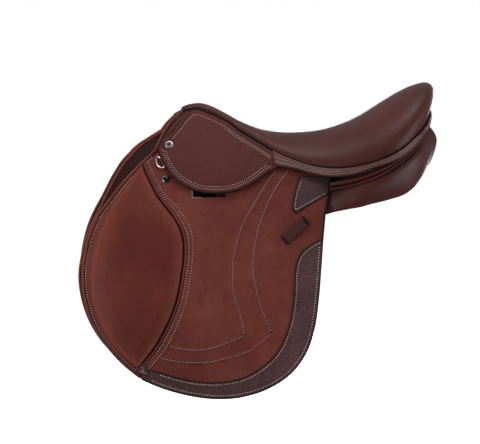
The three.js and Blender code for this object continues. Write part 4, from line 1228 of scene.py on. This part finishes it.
def build_billets():
    """Three girth straps with round ends, and their holes."""
    vs, us = spread(120, 0.2), spread(12, 0.7) - 0.5
    z = STRAP_TOP + (STRAP_END - STRAP_TOP) * vs
    narrowed = np.sqrt(np.clip(1 - ((vs - 0.95) / 0.0501) ** 2 * 0.86, 0, 1))
    width = STRAP_WIDTH * np.where(vs > 0.95, narrowed, 1)
    for place, x in BILLET.items():
        g = np.stack([x + us[:, None] * width[None], np.repeat(z[None], len(us), 0)], -1)
        body = "billet_%s_left" % place
        settle(sheet(body + "_strap", g, STRAP_IN, STRAP_OUT, STRAP, 1.4), body, "strap_leather", body)
        for i in range(HOLES):
            at = [x, STRAP_END + HOLE_START + i * HOLE_PITCH]
            hole = disc("billet_hole_%s_left_%d" % (place, i), at, STRAP_OUT + 0.1, HOLE_RADIUS, EDGE_AND_SHADE)
            settle(hole, body, "strap_leather")


# ------------------------------------------------------------------ metal
def axes_at(at):
    """The outward direction of the side at [x, z], and two directions along the side."""
    n = normals_on_side(np.array([at], float))[0]
    a = np.cross([0, 0, 1.0], n)
    a /= np.linalg.norm(a)
    return n, a, np.cross(n, a)


def place_at(at, lift):
    return on_side(np.array([at], float), lift)[0]


def disc(name, at, lift, radius, material, height=0.25, rings=4, sides=20, dome=False, raised=0.0):
    """A round piece lying on the side at [x, z], raised along the side's normal."""
    c = place_at(at, lift)
    n, a, b = axes_at(at)
    turn = np.linspace(0, math.pi / 2, rings + 1)
    rise = height * (0.25 + 0.75 * np.sin(turn)) if dome else np.full(rings + 1, height)
    profile = [(radius, -0.4), *zip(radius * np.cos(turn), raised + rise)]
    around = np.linspace(0, 2 * math.pi, sides, endpoint=False)
    verts = [c + a * max(r, 0.02) * math.cos(w) + b * max(r, 0.02) * math.sin(w) + n * h
             for r, h in profile for w in around]
    faces = []
    for i in range(len(profile) - 1):
        for j in range(sides):
            k = (j + 1) % sides
            faces.append((i * sides + j, i * sides + k, (i + 1) * sides + k, (i + 1) * sides + j))
    faces.append(tuple(range(sides))[::-1])
    top = (len(profile) - 1) * sides
    faces.append(tuple(top + j for j in range(sides)))
    o = make(name, verts, faces, material)
    merge_close(o, 0.001)
    return o


NAIL_AT, STUD_AT, DEE_AT = [-213, 81], [-219, 27], [-225, 54]
NAIL_LIFT = 7.9
NAIL_CLEAR = 8.4


def build_nail():
    """The dome nail at the skirt's front, and its dark middle."""
    nail = disc("skirt_nail_left_head", NAIL_AT, NAIL_LIFT, 7.1, STEEL,
                height=1.9, rings=8, sides=40, dome=True, raised=0.7)
    settle(nail, ROOT, "polished_metal", "skirt_nail_left")
    eye = disc("skirt_nail_left_eye", NAIL_AT, NAIL_LIFT, 3.7, BLACK,
               height=0.4, rings=5, sides=24, dome=True, raised=2.44)
    settle(eye, ROOT, "polished_metal")


def build_stud():
    """The black stud, and the bright arc at its rear: a painted reflection on the stud's rim."""
    stud = disc("point_stud_left_head", STUD_AT, 0.6, 5.4, BLACK,
                height=3.0, rings=8, sides=40, dome=True)
    settle(stud, ROOT, "black_nickel", "point_stud_left")
    n, a, b = axes_at(STUD_AT)
    w = np.linspace(math.pi * 0.62, math.pi * 1.4, 30)[:, None]
    arc = place_at(STUD_AT, 0.9) + n * 0.5
    arc = arc + 5.6 * (np.cos(w) * a * np.sign(a[0]) + np.sin(w) * b * np.sign(b[2]))
    rim = tube("point_stud_left_rim", arc, 0.75, CHROME, 8, taper=0.2)
    settle(rim, ROOT, "polished_metal")


def build_dee():
    """The dee ring, with its straight bar held in the fold of a leather chape."""
    c = place_at(DEE_AT, 3.5)
    n = axes_at(DEE_AT)[0]
    low, high = ([DEE_AT[0] + x, DEE_AT[1] + z] for x, z in ((4.5, -9), (-4.5, 9)))
    bar = place_at(low, 0) - place_at(high, 0)
    bar -= n * (bar @ n)
    bar /= np.linalg.norm(bar)
    ahead = np.cross(bar, n)
    ahead *= -np.sign(ahead[0])
    line = [(-8.0, 0), (-4.0, 0), (0, 0), (4.0, 0), (8.0, 0)]
    bow = np.linspace(0.08, math.pi - 0.08, 15)
    line += [(11.4 * math.cos(t), 1.0 + 8.2 * math.sin(t)) for t in bow]
    path = evenly(np.array([c + bar * p + ahead * q for p, q in line]), 90, closed=True)[:-1]
    ring = tube("dee_ring_left_wire", path, 1.2, CHROME, 14, closed=True)
    settle(ring, "dee_ring_left", "polished_metal", "dee_ring_left")
    fold = np.linspace(math.pi * 0.42, math.pi * 1.5, 22)
    arc = [(2.35 * math.cos(t), 2.35 * math.sin(t)) for t in fold]
    outer = arc + [(6, -2.35), (12, -2.35), (18, -2.35)]
    inner = [(p * 0.76, q * 0.76) for p, q in arc] + [(5, -0.6), (12, -0.6), (18, -0.6)]
    across = np.linspace(-7, 7, 9)
    v, f = shell(*(np.array([[c - ahead * p + n * q + bar * w for w in across] for p, q in face])
                   for face in (outer, inner)))
    chape = make("dee_chape_left_strap", v, f, STRAP)
    merge_close(chape, 0.001)
    settle(chape, ROOT, "strap_leather", "dee_chape_left")


# ------------------------------------------------------------------ thread
def build_stitches():
    """All the sewing, one piece for each thing that is sewn."""
    flap = [row(beside_pad(ROW_NEAR), 0.45), row(beside_pad(ROW_FAR), 0.45)]
    flap += [row(line, 0.05) for line in SEAMS.values()]
    flap.append(row(offset(FRONT_LINE, -5.6, 160, a=0.16, b=0.985), 1.0))
    settle(stitch("flap_stitches_left", flap), "flap_left", "strap_leather", bend=FLAP_BEND)
    grip = [row(offset(GRIP_INSIDE, -3.2, 90, a=0.01, b=0.97), 2.0),
            row(offset(GRIP_OUTSIDE, 5.0, 120, a=0.02, b=0.97), 2.0),
            row([[-265, -267], [-251, -272]], 2.15), row([[-260, -260], [-258, -269]], 2.15)]
    settle(stitch("grip_stitches_left", grip), "flap_left", "strap_leather")
    patch = [row(offset([[-6, 26], [-14, 8], [-19, -10], [-19, -20], [-14, -23]], -2.6, 50), 2.0),
             row(offset([[-14, -23], [7, -12], [36, 3]], -2.6, 50), 2.0)]
    settle(stitch("patch_stitches_left", patch), ROOT, "strap_leather")
    top = skirt_top_line()
    over = np.vstack([offset(SKIRT_FRONT[::-1], 8.0, 40, a=0.1, b=0.9),
                      offset(top, 8.0, 120, a=0.07, b=0.99)])
    lines = [offset(SKIRT_LOBE, -5.8, 120, b=0.98), offset(SKIRT_LOBE, -9.6, 120, a=0.02, b=0.97),
             over, offset(top, 11.0, 120, a=0.45, b=0.99)]
    rows = [row(line, lambda p: skirt_lift(p, True) + 0.1) for line in lines]
    parts = [part for r in rows for part in clear_of(r, NAIL_AT, NAIL_CLEAR)]
    settle(stitch("skirt_stitches_left", parts), "skirt_left", "strap_leather", bend=SKIRT_BEND)
    n = grid_normals(BAND_GRID)
    across = [int(share * (BAND_GRID.shape[1] - 1)) for share in (0.3, 0.5, 0.7)]
    rows = [(BAND_GRID[:-6, j] + n[:-6, j] * 4.0, n[:-6, j]) for j in across]
    settle(stitch("band_stitches_left", rows, 2.2, 2.9, 0.7), ROOT, "strap_leather")


# ------------------------------------------------------------------ everything
def dress_frame():
    """Materials for the CAD pieces that are shown as they are."""
    own = {"tree_frame": WOOD, "head_arch": STEEL,
           "seat_web_long": WEB, "seat_web_front": WEB, "seat_web_rear": WEB}
    for side in ("left", "right"):
        for name in ("stirrup_bar_", "stirrup_catch_", "catch_pin_"):
            own[name + side] = STEEL
    for name, material in own.items():
        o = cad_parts[name]
        o.data.materials.clear()
        o.data.materials.append(material)


for build in (build_flap, build_pad, build_pad_trim, build_pad_band, build_seams, build_edges,
              build_grip, build_keeper, build_slot_edge, build_skirt, build_seat, build_band,
              build_facing, build_panel, build_sweat_flap, build_billets, build_nail, build_stud,
              build_dee, build_stitches):
    build()
dress_frame()

# ------------------------------------------------------------------ floor, light and camera
AMBIENT = 0.26
LIGHTS = (("left", (-2.5, -1.15, -0.05), 1.3, 50), ("right", (2.5, -1.3, -0.1), 1.3, 44),
          ("top", (0.0, -0.3, 2.5), 1.3, 29), ("back", (0.7, 2.7, -0.3), 1.6, 34))


FLOOR_Z = -0.62


def stage():
    """A pale floor, an even white world that the camera sees as white, and four soft lamps."""
    bpy.ops.mesh.primitive_plane_add(size=40, location=(0, 0, FLOOR_Z))
    floor = bpy.context.object
    floor.name = "pale_floor"
    m = Nodes("pale_floor")
    m.shader.inputs["Emission Color"].default_value = (1, 1, 1, 1)
    m.shader.inputs["Emission Strength"].default_value = 0.95
    pale = m.mix(m.noise(1.5), (0.93, 0.93, 0.93, 1), (0.96, 0.96, 0.96, 1))
    floor.data.materials.append(m.finish(pale, 0.9))
    floor.visible_diffuse = False
    floor.visible_glossy = False
    world = bpy.data.worlds.new("studio")
    world.use_nodes = True
    tree = world.node_tree
    seen = tree.nodes.new("ShaderNodeLightPath")
    strength = tree.nodes.new("ShaderNodeMapRange")
    strength.inputs["To Min"].default_value = AMBIENT
    tree.links.new(seen.outputs["Is Camera Ray"], strength.inputs["Value"])
    tree.nodes["Background"].inputs[0].default_value = (1, 1, 1, 1)
    tree.links.new(strength.outputs[0], tree.nodes["Background"].inputs[1])
    bpy.context.scene.world = world
    for name, at, size, power in LIGHTS:
        light = bpy.data.lights.new(name, "AREA")
        light.size = size
        light.energy = power
        aim(linked(name, light), Vector(at), Vector((-0.08, 0, 0)))


def aim(o, at, target):
    """Puts an object at a point and turns it to look at its target."""
    o.location = at
    o.rotation_euler = (target - at).to_track_quat("-Z", "Y").to_euler()


def camera():
    """Level with the saddle on its left, a little ahead of it and above."""
    away, turn, rise = 2.6, math.radians(-5), math.radians(4)
    target = Vector((-0.0919, 0, -0.0496))
    back = Vector((math.sin(turn) * math.cos(rise), -math.cos(turn) * math.cos(rise), math.sin(rise)))
    cam = bpy.data.cameras.new("camera")
    cam.lens = 117.05
    cam.sensor_width = 36
    o = linked("camera", cam)
    aim(o, target + away * back, target)
    bpy.context.scene.camera = o


stage()
camera()
bpy.context.scene.view_settings.view_transform = "Standard"
